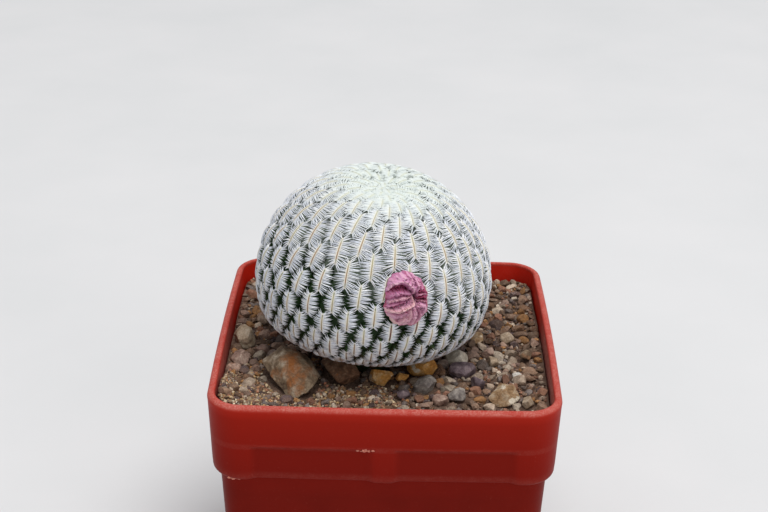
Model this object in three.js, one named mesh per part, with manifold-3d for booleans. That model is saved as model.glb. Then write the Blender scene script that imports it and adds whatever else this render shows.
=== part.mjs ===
// A comb-spined cactus (Mammillaria pectinifera) with one withered flower, in a square plastic nursery pot.
// Millimetres, +Z up. The origin is the centre of the pot's flat base, and -Y is the front of the pot.
import * as THREE from "three";
import { ConvexHull } from "three/addons/math/ConvexHull.js";
import { mergeVertices } from "three/addons/utils/BufferGeometryUtils.js";
import Module from "manifold-3d";

const wasm = await Module();
wasm.setup();

// Driving dimensions of the pot
const POT_HEIGHT = 60;
const RIM_HALF = 32.5;
const COLLAR_HEIGHT = 16;
const COLLAR_BOTTOM_HALF = 31.85;
const BODY_TOP_HALF = 30.45;
const BASE_HALF = 28.1;
const CORNER_RADIUS = 6.6;
const SIDE_BOW = 0.3;
const BODY_WALL = 1.5;
const COLLAR_WALL = 1.45;
const FLOOR_THICKNESS = 2;
const LIP_ROUNDING = 0.9;
const COLLAR_ROUNDING = 1.2;
const INNER_STEP_START = 0.4;
const INNER_STEP_END = 2.4;
const PANEL_DEPTH = 0.35;
const PANEL_INNER_X = 2.3;
const PANEL_OUTER_X = 24;
const PANEL_HEIGHT = 7.6;
const DRAIN_HOLE_DIAMETER = 5;
const DRAIN_HOLE_OFFSET = 17;
const CORNER_STEPS = 5;
const SIDE_STEPS = 4;
const EDGE_STEPS = 3;

// Driving dimensions of the soil and the loose stones
const FIT_GAP = 0.32;
const SOIL_LEVEL = 55.4;
const GRIT_SIZE = 2.6;
const GRIT_HEIGHT = 0.9;
const HEAP_HEIGHT = 3;

// Driving dimensions of the plant
const PLANT_CENTRE = new THREE.Vector3(-2.73, 0, 71.44);
const PLANT_RADIUS = 22.95;
const PLANT_HALF_HEIGHT = 21.5;
const CROWN_DIMPLE = 1.3;
const CROWN_DIMPLE_WIDTH = 0.35;
const BARE_LEVEL = -2.5;
const GROOVE_LEVEL = -2.1;
const STEM_FOOT_Z = 53.2;

// The underside is drawn in below the last combs, down to a narrow neck in a round hole in the soil.
const UNDERCUT = 5;
const UNDERCUT_START = THREE.MathUtils.degToRad(104);
const UNDERCUT_END = THREE.MathUtils.degToRad(140);
const NECK_START = THREE.MathUtils.degToRad(147);
const NECK_END = THREE.MathUtils.degToRad(157);
const UNDERSIDE_TILT = THREE.MathUtils.degToRad(4);
const HOLE_FLOOR_RADIUS = 8.6;
const HOLE_RIM_RADIUS = 10.4;

// The plant leans: its crown faces the front a little, and its flanks lean to the right.
const CROWN_TILT_FRONT = THREE.MathUtils.degToRad(8.7);
const CROWN_TILT_RIGHT = THREE.MathUtils.degToRad(5.7);
const FLANK_TILT_RIGHT = THREE.MathUtils.degToRad(7.6);
const CROWN_EXTENT = THREE.MathUtils.degToRad(32);

// Tubercle n stands DIVERGENCE further round the stem than tubercle n - 1, counted from the growing point.
const DIVERGENCE = THREE.MathUtils.degToRad(137.546);
const FIRST_AZIMUTH = THREE.MathUtils.degToRad(50.2);
const CROWN_COUNT = 52;
const FLANK_COUNT = 256;
const COMB_COUNT = 300;
const CROWN_POLAR = 30.3;
const CROWN_POWER = 0.7;
const FOOT_POLAR = 105;
const FOOT_STEP = 0.16;
const LARGE_CELL = 4.3;
const CELL_FILL = 0.93;
const DOWN_STEP = 0.02;

// Driving dimensions of the flower
const FLOWER_AZIMUTH = THREE.MathUtils.degToRad(14);
const FLOWER_POLAR = THREE.MathUtils.degToRad(73.6);
const FLOWER_HALF_WIDTH = 3.95;
const FLOWER_HALF_HEIGHT = 4.9;
const UNDER_FLOWER = 3.6;
const PETAL_COUNT = 8;
const PETAL_THICKNESS = 0.7;

// The larger loose stones: the place of the middle, half sizes, turn in degrees and colour.
// A lean in degrees lifts the end of a stone that is at -X before it is turned.
const BROWN = 0x8a6f60;
const OCHRE = 0xb58650;
const BEIGE = 0xb9a68e;
const stones = [
  { name: "stone_brown_long", at: [-18, -13.6, 57.8], half: [8.3, 4.9, 3.4], turn: -67, lean: 12, colour: BROWN },
  { name: "stone_brown_mid", at: [-8.6, -12.3, 57.1], half: [5, 3.2, 2.4], turn: -52, lean: 5, colour: BROWN },
  { name: "stone_ochre_front", at: [7, -10.4, 57], half: [3, 2.4, 2], turn: 8, colour: OCHRE },
  { name: "stone_ochre_left", at: [-0.9, -14.3, 56.6], half: [2.5, 2, 1.7], turn: -12, colour: OCHRE },
  { name: "stone_grey_front", at: [7.4, -17, 56.5], half: [2.7, 2.3, 2], turn: 30, colour: 0x8d8788 },
  { name: "stone_purple_grey", at: [14.9, -10.9, 56.8], half: [3, 1.9, 1.9], turn: 15, colour: 0x6d5f66 },
  { name: "stone_pale_grey", at: [13.7, -6, 56.8], half: [2.6, 1.9, 1.7], turn: 10, colour: 0xb4aca2 },
  { name: "stone_ochre_right", at: [22, -20.5, 56.8], half: [3.2, 2.7, 2.3], turn: 25, colour: OCHRE },
  { name: "stone_ochre_back", at: [18.3, 3, 56.1], half: [1.6, 1.8, 1.4], turn: 50, colour: OCHRE },
  { name: "stone_beige_left", at: [-28.1, 0.3, 57], half: [2.3, 2.8, 2.4], turn: 10, colour: BEIGE },
  { name: "stone_pink_left", at: [-28.4, -7.2, 56.2], half: [1.9, 2.2, 1.7], turn: -15, colour: 0xa58d84 },
];

const colours = {
  pot: 0xa63c2c,
  soil: 0x7a6658,
  cactus: 0xc9cdbd,
  petals: 0xc4709a,
  tube: 0x8a7a4e,
};

// A repeatable draw from 0 to 1 for a whole number.
function draw(seed) {
  const x = Math.sin(seed * 127.1 + 11.7) * 43758.5453;
  return x - Math.floor(x);
}

function geometryOf(points, faces) {
  const geometry = new THREE.BufferGeometry();
  const flat = points.flatMap((p) => [p.x, p.y, p.z]);
  geometry.setAttribute("position", new THREE.Float32BufferAttribute(flat, 3));
  geometry.setIndex(faces.flat());
  geometry.computeVertexNormals();
  return geometry;
}

function solidOf(geometry) {
  const bare = geometry.clone();
  bare.deleteAttribute("normal");
  bare.deleteAttribute("uv");
  const merged = mergeVertices(bare, 1e-4);
  const vertProperties = new Float32Array(merged.attributes.position.array);
  const triVerts = new Uint32Array(merged.index.array);
  return new wasm.Manifold(new wasm.Mesh({ numProp: 3, vertProperties, triVerts }));
}

// The outer skin of a joined solid, which fills any hollow that the joining closed.
function outermost(solid) {
  return solid.decompose().reduce((a, b) => (b.volume() > a.volume() ? b : a));
}

function geometryFrom(solid) {
  const mesh = solid.getMesh();
  const points = [];
  for (let i = 0; i < mesh.numVert; i++) {
    points.push(new THREE.Vector3(...mesh.vertProperties.subarray(i * mesh.numProp, i * mesh.numProp + 3)));
  }
  return geometryOf(points, [Array.from(mesh.triVerts)]);
}

function node(name, geometry, colour, roughness) {
  const material = new THREE.MeshStandardMaterial({ color: colour, roughness, metalness: 0 });
  const mesh = new THREE.Mesh(geometry, material);
  mesh.name = name;
  return mesh;
}

// The outline of a square with round corners and slightly bowed sides, counterclockwise from above.
function squareOutline(half, radius, z, sideSteps = SIDE_STEPS, cornerSteps = CORNER_STEPS) {
  const points = [];
  const straight = half - radius;
  const up = new THREE.Vector3(0, 0, 1);
  for (let side = 0; side < 4; side++) {
    const turn = (side * Math.PI) / 2;
    for (let i = 1; i < sideSteps; i++) {
      const t = -1 + (2 * i) / sideSteps;
      points.push(new THREE.Vector3(half + SIDE_BOW * (1 - t * t), t * straight, z).applyAxisAngle(up, turn));
    }
    for (let i = 0; i <= cornerSteps; i++) {
      const angle = (i / cornerSteps) * (Math.PI / 2);
      const x = straight + radius * Math.cos(angle);
      const y = straight + radius * Math.sin(angle);
      points.push(new THREE.Vector3(x, y, z).applyAxisAngle(up, turn));
    }
  }
  return points;
}

// A closed surface through a row of rings with equal counts, capped by a centre point at each end.
function loft(rings, firstCentre, lastCentre) {
  const count = rings[0].length;
  const points = [...rings.flat(), firstCentre, lastCentre];
  const first = points.length - 2;
  const last = points.length - 1;
  const faces = [];
  for (let i = 0; i < count; i++) {
    const j = (i + 1) % count;
    faces.push([first, j, i]);
    for (let ring = 0; ring + 1 < rings.length; ring++) {
      const a = ring * count;
      const b = a + count;
      faces.push([a + i, a + j, b + j], [a + i, b + j, b + i]);
    }
    faces.push([last, (rings.length - 1) * count + i, (rings.length - 1) * count + j]);
  }
  return geometryOf(points, faces);
}

const collarBottomZ = POT_HEIGHT - COLLAR_HEIGHT;
const innerStepLowZ = collarBottomZ + INNER_STEP_START;
const innerStepHighZ = collarBottomZ + INNER_STEP_END;
const floorTopZ = FLOOR_THICKNESS;

// Half the inside width of the pot at a height.
function innerHalf(z) {
  const { mapLinear } = THREE.MathUtils;
  const lower = mapLinear(z, 0, collarBottomZ, BASE_HALF, BODY_TOP_HALF) - BODY_WALL;
  const upper = mapLinear(z, collarBottomZ, POT_HEIGHT, COLLAR_BOTTOM_HALF, RIM_HALF) - COLLAR_WALL;
  const step = THREE.MathUtils.smoothstep(z, innerStepLowZ, innerStepHighZ);
  return THREE.MathUtils.lerp(lower, upper, step);
}

// One ring of the pot's wall: all its rings share the centres of the round corners.
function ring(half, z) {
  return squareOutline(half, CORNER_RADIUS + half - RIM_HALF, z);
}

// The rings of a round edge that reaches out to a half width, from one angle to another in degrees.
function roundedEdge(half, z, radius, from, to) {
  const rings = [];
  for (let i = 0; i <= EDGE_STEPS; i++) {
    const angle = THREE.MathUtils.degToRad(from + ((to - from) * i) / EDGE_STEPS);
    rings.push(ring(half - radius + radius * Math.cos(angle), z + radius * Math.sin(angle)));
  }
  return rings;
}

function potGeometry() {
  const rings = [
    ring(BASE_HALF - 0.5, 0),
    ring(BASE_HALF, 0.5),
    ring(BODY_TOP_HALF, collarBottomZ),
    ...roundedEdge(COLLAR_BOTTOM_HALF, collarBottomZ + COLLAR_ROUNDING, COLLAR_ROUNDING, -80, 0),
    ...roundedEdge(RIM_HALF, POT_HEIGHT - LIP_ROUNDING, LIP_ROUNDING, 0, 90),
    ring(RIM_HALF - COLLAR_WALL + 0.4, POT_HEIGHT),
    ring(innerHalf(POT_HEIGHT - 0.4), POT_HEIGHT - 0.4),
    ring(innerHalf(innerStepHighZ), innerStepHighZ),
    ring(innerHalf(innerStepLowZ), innerStepLowZ),
    ring(innerHalf(floorTopZ), floorTopZ),
  ];
  let pot = solidOf(loft(rings, new THREE.Vector3(0, 0, 0), new THREE.Vector3(0, 0, floorTopZ)));
  for (const cutter of [...panelCutters(), ...drainCutters()]) pot = pot.subtract(solidOf(cutter));
  return geometryFrom(pot);
}

// Two shallow sunk panels in the lower half of the collar, on each of the four sides.
function panelCutters() {
  const cutters = [];
  const slope = Math.atan2(RIM_HALF - COLLAR_BOTTOM_HALF, COLLAR_HEIGHT);
  const face = COLLAR_BOTTOM_HALF + SIDE_BOW / 2;
  const width = PANEL_OUTER_X - PANEL_INNER_X;
  const thickness = 4;
  const below = 3;
  for (let side = 0; side < 4; side++) {
    for (const hand of [-1, 1]) {
      const box = new THREE.BoxGeometry(width, thickness, PANEL_HEIGHT + below);
      box.translate(0, -thickness / 2 + PANEL_DEPTH, (PANEL_HEIGHT - below) / 2);
      box.rotateX(slope);
      box.translate((hand * (PANEL_INNER_X + PANEL_OUTER_X)) / 2, -face, collarBottomZ);
      box.rotateZ((side * Math.PI) / 2);
      cutters.push(box);
    }
  }
  return cutters;
}

function drainCutters() {
  const cutters = [];
  for (const x of [-DRAIN_HOLE_OFFSET, DRAIN_HOLE_OFFSET]) {
    for (const y of [-DRAIN_HOLE_OFFSET, DRAIN_HOLE_OFFSET]) {
      const hole = new THREE.CylinderGeometry(DRAIN_HOLE_DIAMETER / 2, DRAIN_HOLE_DIAMETER / 2, 8, 16);
      hole.rotateX(Math.PI / 2);
      hole.translate(x, y, FLOOR_THICKNESS / 2);
      cutters.push(hole);
    }
  }
  return cutters;
}

// A lean to the front about X, followed by a lean to the right about Y.
function leanOf(front, right) {
  const aboutX = new THREE.Quaternion().setFromAxisAngle(new THREE.Vector3(1, 0, 0), front);
  const aboutY = new THREE.Quaternion().setFromAxisAngle(new THREE.Vector3(0, 1, 0), right);
  return aboutY.multiply(aboutX);
}

const crownLeanBack = leanOf(CROWN_TILT_FRONT, CROWN_TILT_RIGHT).invert();
const undersideAxis = new THREE.Vector3(0, 0, 1).applyQuaternion(leanOf(0, UNDERSIDE_TILT));

// How far the skin is drawn in along a ray from the plant's centre.
function undercut(ray) {
  const below = ray.angleTo(undersideAxis);
  const drawnIn = THREE.MathUtils.smoothstep(below, UNDERCUT_START, UNDERCUT_END);
  return UNDERCUT * (drawnIn - THREE.MathUtils.smoothstep(below, NECK_START, NECK_END));
}

// The direction of a place on the plant: azimuth 0 is the front, polar 0 is the growing point.
// The lean to the front is full at the crown and gone from the shoulders down.
function direction(azimuth, polar) {
  const flank = THREE.MathUtils.smoothstep(polar, 0, CROWN_EXTENT);
  const right = THREE.MathUtils.lerp(CROWN_TILT_RIGHT, FLANK_TILT_RIGHT, flank);
  return new THREE.Vector3(
    Math.sin(polar) * Math.sin(azimuth),
    -Math.sin(polar) * Math.cos(azimuth),
    Math.cos(polar),
  ).applyQuaternion(leanOf(CROWN_TILT_FRONT * (1 - flank), right));
}

// The point where a ray from the plant's centre meets its outline, moved out by a level in millimetres.
function surfacePoint(ray, level) {
  const local = ray.clone().applyQuaternion(crownLeanBack);
  const flat = (local.x * local.x + local.y * local.y) / (PLANT_RADIUS * PLANT_RADIUS);
  const upright = (local.z * local.z) / (PLANT_HALF_HEIGHT * PLANT_HALF_HEIGHT);
  const fromPole = Math.acos(THREE.MathUtils.clamp(local.z, -1, 1));
  const dimple = CROWN_DIMPLE * Math.exp(-((fromPole / CROWN_DIMPLE_WIDTH) ** 2));
  const reach = 1 / Math.sqrt(flat + upright) + level - dimple - undercut(ray);
  return ray.clone().multiplyScalar(reach).add(PLANT_CENTRE);
}

// The polar angle of tubercle n, in radians: a tight crown, then rows that close up towards the foot.
function polarOf(n) {
  if (n <= CROWN_COUNT) return THREE.MathUtils.degToRad(CROWN_POLAR * (n / CROWN_COUNT) ** CROWN_POWER);
  if (n > FLANK_COUNT) return THREE.MathUtils.degToRad(FOOT_POLAR + FOOT_STEP * (n - FLANK_COUNT));
  const t = (n - 149) / 100;
  return THREE.MathUtils.degToRad(74.1 + 42 * t - 10 * t * t - 4.7 * t ** 3 + 2.3 * t ** 4);
}

// The side of the square that one tubercle covers, in millimetres.
function cellSize(n) {
  const step = (polarOf(n + 0.5) - polarOf(n - 0.5)) * PLANT_RADIUS;
  return Math.sqrt(2 * Math.PI * Math.sin(polarOf(n)) * PLANT_RADIUS * step);
}

function flowerFrame() {
  const axis = direction(FLOWER_AZIMUTH, FLOWER_POLAR);
  const up = new THREE.Vector3(0, 0, 1).addScaledVector(axis, -axis.z).normalize();
  const side = new THREE.Vector3().crossVectors(up, axis);
  return { axis, up, side, centre: surfacePoint(axis, 0) };
}

// The places of the tubercles, comb-bearing ones first and then the bare ones of the underside.
function tubercleSites() {
  const flower = flowerFrame().centre;
  const sites = [];
  for (let n = 1; n <= COMB_COUNT; n++) {
    const azimuth = FIRST_AZIMUTH + n * DIVERGENCE;
    const ray = direction(azimuth, polarOf(n));
    const down = direction(azimuth, polarOf(n) + DOWN_STEP).sub(ray);
    const hidden = surfacePoint(ray, 0).distanceTo(flower) < UNDER_FLOWER;
    sites.push({ n, ray, down, size: cellSize(n), comb: !hidden, groove: GROOVE_LEVEL, crest: BARE_LEVEL });
  }
  const bareRings = [
    { polar: 120, count: 30, groove: -2.3, crest: -1.6 },
    { polar: 129, count: 24, groove: BARE_LEVEL, crest: -2.2 },
    { polar: 139, count: 20, groove: BARE_LEVEL, crest: BARE_LEVEL },
    { polar: 148, count: 16, groove: BARE_LEVEL, crest: BARE_LEVEL },
    { polar: 157, count: 14, groove: BARE_LEVEL, crest: BARE_LEVEL },
    { polar: 180, count: 1, groove: BARE_LEVEL, crest: BARE_LEVEL },
  ];
  for (const { polar, count, groove, crest } of bareRings) {
    for (let i = 0; i < count; i++) {
      const angle = THREE.MathUtils.degToRad(polar);
      const azimuth = (2 * Math.PI * (i + 0.37 * polar)) / count;
      const ray = direction(azimuth, angle);
      sites.push({ ray, down: new THREE.Vector3(0, 0, -1), size: 4, comb: false, groove, crest });
    }
  }
  return sites;
}

// The angle of the entry that follows in a loop, or Infinity once the loop is used up.
function nextAngle(loop, used) {
  if (used >= loop.length) return Infinity;
  const wholeTurn = used + 1 === loop.length ? 2 * Math.PI : 0;
  return loop[(used + 1) % loop.length].angle + wholeTurn;
}

// Joins an outer and an inner loop, both star-shaped round one centre, with one band of triangles.
function band(outer, inner, faces) {
  inner.sort((a, b) => a.angle - b.angle);
  let i = 0;
  let j = 0;
  while (i < outer.length || j < inner.length) {
    const far = outer[i % outer.length].index;
    const near = inner[j % inner.length].index;
    if (nextAngle(outer, i) <= nextAngle(inner, j)) {
      faces.push([far, outer[(i + 1) % outer.length].index, near]);
      i++;
    } else {
      faces.push([near, far, inner[(j + 1) % inner.length].index]);
      j++;
    }
  }
}

// How far the loop of a cell lies from its middle in one direction.
function reachOf(loop, angle) {
  const direction = new THREE.Vector2(Math.cos(angle), Math.sin(angle));
  for (let i = 0; i < loop.length; i++) {
    const a = loop[i].flat;
    const side = loop[(i + 1) % loop.length].flat.clone().sub(a);
    if (a.cross(direction) < 0 || loop[(i + 1) % loop.length].flat.cross(direction) > 0) continue;
    if (direction.dot(a) > 0) return a.cross(side) / direction.cross(side);
  }
  return Infinity;
}

// One axe-shaped tubercle: a narrow crest along the stem, with spines that stand out from both sides of it.
// Its sizes are shares of the cell that it covers, and CELL_FILL keeps all of it inside that cell.
function addComb(site, ring, points, faces, frame) {
  const { size } = site;
  const pairs = size > LARGE_CELL ? 3 : 2;
  const halfLength = size * 0.55;
  const crestHalf = halfLength * 0.68;
  const reach = size * 0.48;
  const rootHalf = 0.2;
  const footWidth = size * 0.13;
  const footDrop = size * 0.2;
  const place = (acrossWanted, alongWanted, level) => {
    const wanted = Math.hypot(acrossWanted, alongWanted);
    const room = reachOf(ring, Math.atan2(alongWanted, acrossWanted)) * CELL_FILL;
    const across = acrossWanted * Math.min(1, room / wanted);
    const along = alongWanted * Math.min(1, room / wanted);
    const ray = frame.origin.clone().sub(PLANT_CENTRE);
    ray.addScaledVector(frame.across, across).addScaledVector(frame.along, along).normalize();
    points.push(surfacePoint(ray, level));
    return points.length - 1;
  };
  const addSpike = (root, tip) => root.forEach((a, i) => faces.push([a, root[(i + 1) % 3], tip]));
  const crest = [];
  for (let k = 0; k < pairs; k++) {
    const middle = crestHalf * (-1 + (2 * k + 1) / pairs);
    const arch = -0.25 * (middle / crestHalf) ** 2;
    crest.push({
      middle,
      near: place(0, middle - rootHalf, arch),
      far: place(0, middle + rootHalf, arch),
      right: place(footWidth, middle, -footDrop),
      left: place(-footWidth, middle, -footDrop),
    });
  }
  const head = place(0, -halfLength * 0.86, -footDrop);
  const tail = place(0, halfLength * 0.86, -footDrop);
  crest.forEach((spine, k) => {
    const fan = spine.middle * 1.25;
    const tipLevel = -0.1 * size;
    const rightTip = place(reach, fan, tipLevel);
    const leftTip = place(-reach, fan, tipLevel);
    addSpike([spine.near, spine.right, spine.far], rightTip);
    addSpike([spine.near, spine.far, spine.left], leftTip);
    const next = crest[k + 1];
    if (!next) return;
    faces.push([spine.far, spine.right, next.right], [spine.far, next.right, next.near]);
    faces.push([spine.far, next.left, spine.left], [spine.far, next.near, next.left]);
  });
  const firstSpine = crest[0];
  const lastSpine = crest[pairs - 1];
  faces.push([firstSpine.near, head, firstSpine.right], [firstSpine.near, firstSpine.left, head]);
  faces.push([lastSpine.far, lastSpine.right, tail], [lastSpine.far, tail, lastSpine.left]);
  const foot = [head, tail, ...crest.flatMap((spine) => [spine.right, spine.left])];
  band(ring, foot.map(frame.flatten), faces);
}

// The head: every tubercle fills its own cell of the net that joins neighbouring growing points.
function cactusGeometry() {
  const sites = tubercleSites();
  const hull = new ConvexHull().setFromPoints(sites.map((site) => site.ray));
  const siteOf = new Map(sites.map((site) => [site.ray, site]));
  const points = [];
  const faces = [];
  for (const site of sites) site.ring = [];
  for (const face of hull.faces) {
    const corners = [0, 1, 2].map((i) => siteOf.get(face.getEdge(i).head().point));
    const ray = new THREE.Vector3();
    for (const corner of corners) ray.add(corner.ray);
    const level = corners.reduce((sum, corner) => sum + Math.min(1, corner.size / 4) * corner.groove, 0) / 3;
    points.push(surfacePoint(ray.normalize(), level));
    for (const corner of corners) corner.ring.push(points.length - 1);
  }
  for (const site of sites) {
    const out = site.ray.clone().normalize();
    const along = site.down.clone().addScaledVector(out, -site.down.dot(out)).normalize();
    if (along.lengthSq() < 0.5) along.set(1, 0, 0);
    const twist = site.comb ? (draw(site.n) - 0.5) * 0.2 : 0;
    along.applyAxisAngle(out, twist);
    const across = new THREE.Vector3().crossVectors(along, out);
    const origin = surfacePoint(site.ray, 0);
    const flatten = (index) => {
      const offset = points[index].clone().sub(origin);
      const flat = new THREE.Vector2(offset.dot(across), offset.dot(along));
      return { index, flat, angle: flat.angle() };
    };
    const ring = site.ring.map(flatten).sort((a, b) => a.angle - b.angle);
    if (site.comb) {
      addComb(site, ring, points, faces, { origin, out, along, across, flatten });
    } else {
      points.push(surfacePoint(site.ray, site.crest));
      const top = points.length - 1;
      ring.forEach((entry, i) => faces.push([top, entry.index, ring[(i + 1) % ring.length].index]));
    }
  }
  const foot = new THREE.BoxGeometry(60, 60, 30);
  foot.translate(PLANT_CENTRE.x, PLANT_CENTRE.y, STEM_FOOT_Z - 15);
  return geometryFrom(solidOf(geometryOf(points, faces)).subtract(solidOf(foot)));
}

// The soil is heaped up in the front left corner of the pot.
function heapHeight(x, y) {
  return HEAP_HEIGHT * THREE.MathUtils.smoothstep(-x - y, 42, 57);
}

// Grit: coarse at the back and the right, fine in the front left corner.
function gritHeight(x, y) {
  let height = 0;
  const column = Math.floor(x / GRIT_SIZE);
  const row = Math.floor(y / GRIT_SIZE);
  for (let i = column - 1; i <= column + 1; i++) {
    for (let j = row - 1; j <= row + 1; j++) {
      const seed = i * 57 + j * 131;
      const cx = (i + draw(seed)) * GRIT_SIZE;
      const cy = (j + draw(seed + 0.5)) * GRIT_SIZE;
      const reach = GRIT_SIZE * (0.45 + 0.4 * draw(seed + 0.25));
      const away = Math.hypot(x - cx, y - cy) / reach;
      if (away < 1) height = Math.max(height, (1 - away ** 3) * (0.5 + 0.5 * draw(seed + 0.75)));
    }
  }
  const fine = THREE.MathUtils.smoothstep(-x - y, 34, 46);
  return GRIT_HEIGHT * height * (1 - 0.75 * fine);
}

function soilGeometry() {
  const side = 8;
  const corner = 3;
  const wall = (z) => squareOutline(innerHalf(z) - FIT_GAP, CORNER_RADIUS - COLLAR_WALL, z, side, corner);
  const edge = wall(SOIL_LEVEL).map((p) => p.setZ(SOIL_LEVEL + heapHeight(p.x, p.y)));
  const rings = [wall(floorTopZ + FIT_GAP), wall(innerStepLowZ), wall(innerStepHighZ), edge];
  const axisX = PLANT_CENTRE.x - Math.tan(UNDERSIDE_TILT) * (PLANT_CENTRE.z - STEM_FOOT_Z);
  const hole = new THREE.Vector3(axisX, PLANT_CENTRE.y, STEM_FOOT_Z - FIT_GAP);
  const circle = (p, radius) => p.clone().sub(hole).setZ(0).setLength(radius).add(hole);
  const shares = [0.94, 0.88, 0.81, 0.74, 0.67, 0.6, 0.52, 0.44, 0.36, 0.27, 0.18, 0.09, 0];
  for (const share of shares) {
    rings.push(
      edge.map((p) => {
        const ground = circle(p, HOLE_RIM_RADIUS).lerp(p, share);
        return ground.setZ(SOIL_LEVEL + heapHeight(ground.x, ground.y) + gritHeight(ground.x, ground.y));
      }),
    );
  }
  rings.push(edge.map((p) => circle(p, HOLE_FLOOR_RADIUS)));
  const bottom = new THREE.Vector3(0, 0, floorTopZ + FIT_GAP);
  let soil = solidOf(loft(rings, bottom, hole));
  for (const stone of stones) soil = soil.subtract(solidOf(stoneGeometry(stone, FIT_GAP)));
  return geometryFrom(soil);
}

// An angular pebble; grow adds a clearance all round for the pocket that it lies in.
function stoneGeometry({ at, half, turn, lean = 0 }, grow = 0) {
  const ball = new THREE.IcosahedronGeometry(1, 1).deleteAttribute("normal").deleteAttribute("uv");
  const pebble = mergeVertices(ball);
  const position = pebble.attributes.position;
  const seed = Math.abs(at[0] * 13 + at[1] * 7);
  for (let i = 0; i < position.count; i++) {
    const rough = 0.86 + 0.24 * draw(seed + i);
    position.setXYZ(
      i,
      position.getX(i) * (half[0] * rough + grow),
      position.getY(i) * (half[1] * rough + grow),
      position.getZ(i) * (half[2] * rough + grow),
    );
  }
  pebble.rotateY(THREE.MathUtils.degToRad(lean));
  pebble.rotateZ(THREE.MathUtils.degToRad(turn));
  pebble.translate(...at);
  pebble.computeVertexNormals();
  return pebble;
}

// One crumpled petal: it rises from the throat, rolls over and falls to the rim of the flower.
function petalGeometry(index, flower) {
  const inner = index % 2 === 1;
  const turn = (index / PETAL_COUNT) * 2 * Math.PI + 0.3 * draw(index + 3);
  const outline = new THREE.Vector2(FLOWER_HALF_WIDTH * Math.cos(turn), FLOWER_HALF_HEIGHT * Math.sin(turn));
  const rim = (inner ? 0.74 : 1) * outline.length();
  const crown = inner ? 2.5 : 1.7;
  const lengthSteps = 4;
  const widthSteps = 2;
  const place = (u, v, lift) => {
    const radial = 0.5 + (rim - 0.5) * u;
    const width = (inner ? 1.6 : 2.3) * Math.sin(Math.PI * (0.12 + 0.6 * u));
    const fold = 0.5 * (1 + Math.cos(Math.PI * v)) * u * draw(index + 9);
    const sag = (radial * radial) / (2 * PLANT_RADIUS);
    const height = 0.8 + crown * Math.sin(Math.PI * Math.min(1, 0.1 + 0.95 * u)) + fold + lift - sag;
    const across = width * v;
    return flower.centre
      .clone()
      .addScaledVector(flower.side, radial * Math.cos(turn) - across * Math.sin(turn))
      .addScaledVector(flower.up, radial * Math.sin(turn) + across * Math.cos(turn))
      .addScaledVector(flower.axis, height);
  };
  const points = [];
  const faces = [];
  for (const lift of [PETAL_THICKNESS / 2, -PETAL_THICKNESS / 2]) {
    for (let i = 0; i <= lengthSteps; i++) {
      for (let j = 0; j <= widthSteps; j++) {
        points.push(place(i / lengthSteps, -1 + (2 * j) / widthSteps, lift));
      }
    }
  }
  const row = widthSteps + 1;
  const layer = row * (lengthSteps + 1);
  for (let i = 0; i < lengthSteps; i++) {
    for (let j = 0; j < widthSteps; j++) {
      const a = i * row + j;
      faces.push([a, a + row, a + row + 1], [a, a + row + 1, a + 1]);
      const b = a + layer;
      faces.push([b, b + row + 1, b + row], [b, b + 1, b + row + 1]);
    }
  }
  const wall = (a, b) => faces.push([a, a + layer, b + layer], [a, b + layer, b]);
  for (let i = 0; i < lengthSteps; i++) {
    wall(i * row, (i + 1) * row);
    wall((i + 1) * row + widthSteps, i * row + widthSteps);
  }
  for (let j = 0; j < widthSteps; j++) {
    wall(j + 1, j);
    wall(lengthSteps * row + j, lengthSteps * row + j + 1);
  }
  return geometryOf(points, faces);
}

function placeOnFlower(geometry, flower) {
  const turn = new THREE.Matrix4().makeBasis(flower.side, flower.up, flower.axis);
  turn.setPosition(flower.centre);
  return geometry.applyMatrix4(turn);
}

function petalsGeometry(flower) {
  const heart = new THREE.SphereGeometry(1, 8, 4);
  heart.scale(2.2, 2.7, 0.75);
  heart.translate(0, 0, 1.35);
  let petals = solidOf(placeOnFlower(heart, flower));
  for (let i = 0; i < PETAL_COUNT; i++) petals = petals.add(solidOf(petalGeometry(i, flower)));
  return geometryFrom(outermost(petals));
}

// The short tube of the flower, from the groove between the tubercles up to the petals.
function tubeGeometry(flower) {
  const bottom = -1.7;
  const top = 0.25;
  const profile = [
    new THREE.Vector2(0, bottom),
    new THREE.Vector2(0.7, bottom),
    new THREE.Vector2(1.1, bottom + 1),
    new THREE.Vector2(1.3, top),
    new THREE.Vector2(0, top),
  ];
  const tube = new THREE.LatheGeometry(profile, 10);
  tube.rotateX(Math.PI / 2);
  return placeOnFlower(tube, flower);
}

const flower = flowerFrame();
const plant = new THREE.Group();
plant.add(
  node("cactus_head", cactusGeometry(), colours.cactus, 0.8),
  node("flower_petals", petalsGeometry(flower), colours.petals, 0.7),
  node("flower_tube", geometryFrom(solidOf(tubeGeometry(flower))), colours.tube, 0.8),
);

const pottedCactus = new THREE.Group();
pottedCactus.add(node("pot", potGeometry(), colours.pot, 0.45));
pottedCactus.add(node("soil", soilGeometry(), colours.soil, 1));
for (const stone of stones) pottedCactus.add(node(stone.name, stoneGeometry(stone), stone.colour, 0.95));
pottedCactus.add(plant);

export default pottedCactus;
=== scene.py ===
import math

import bmesh
import bpy
import numpy as np
from mathutils import Matrix, Vector, noise


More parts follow.
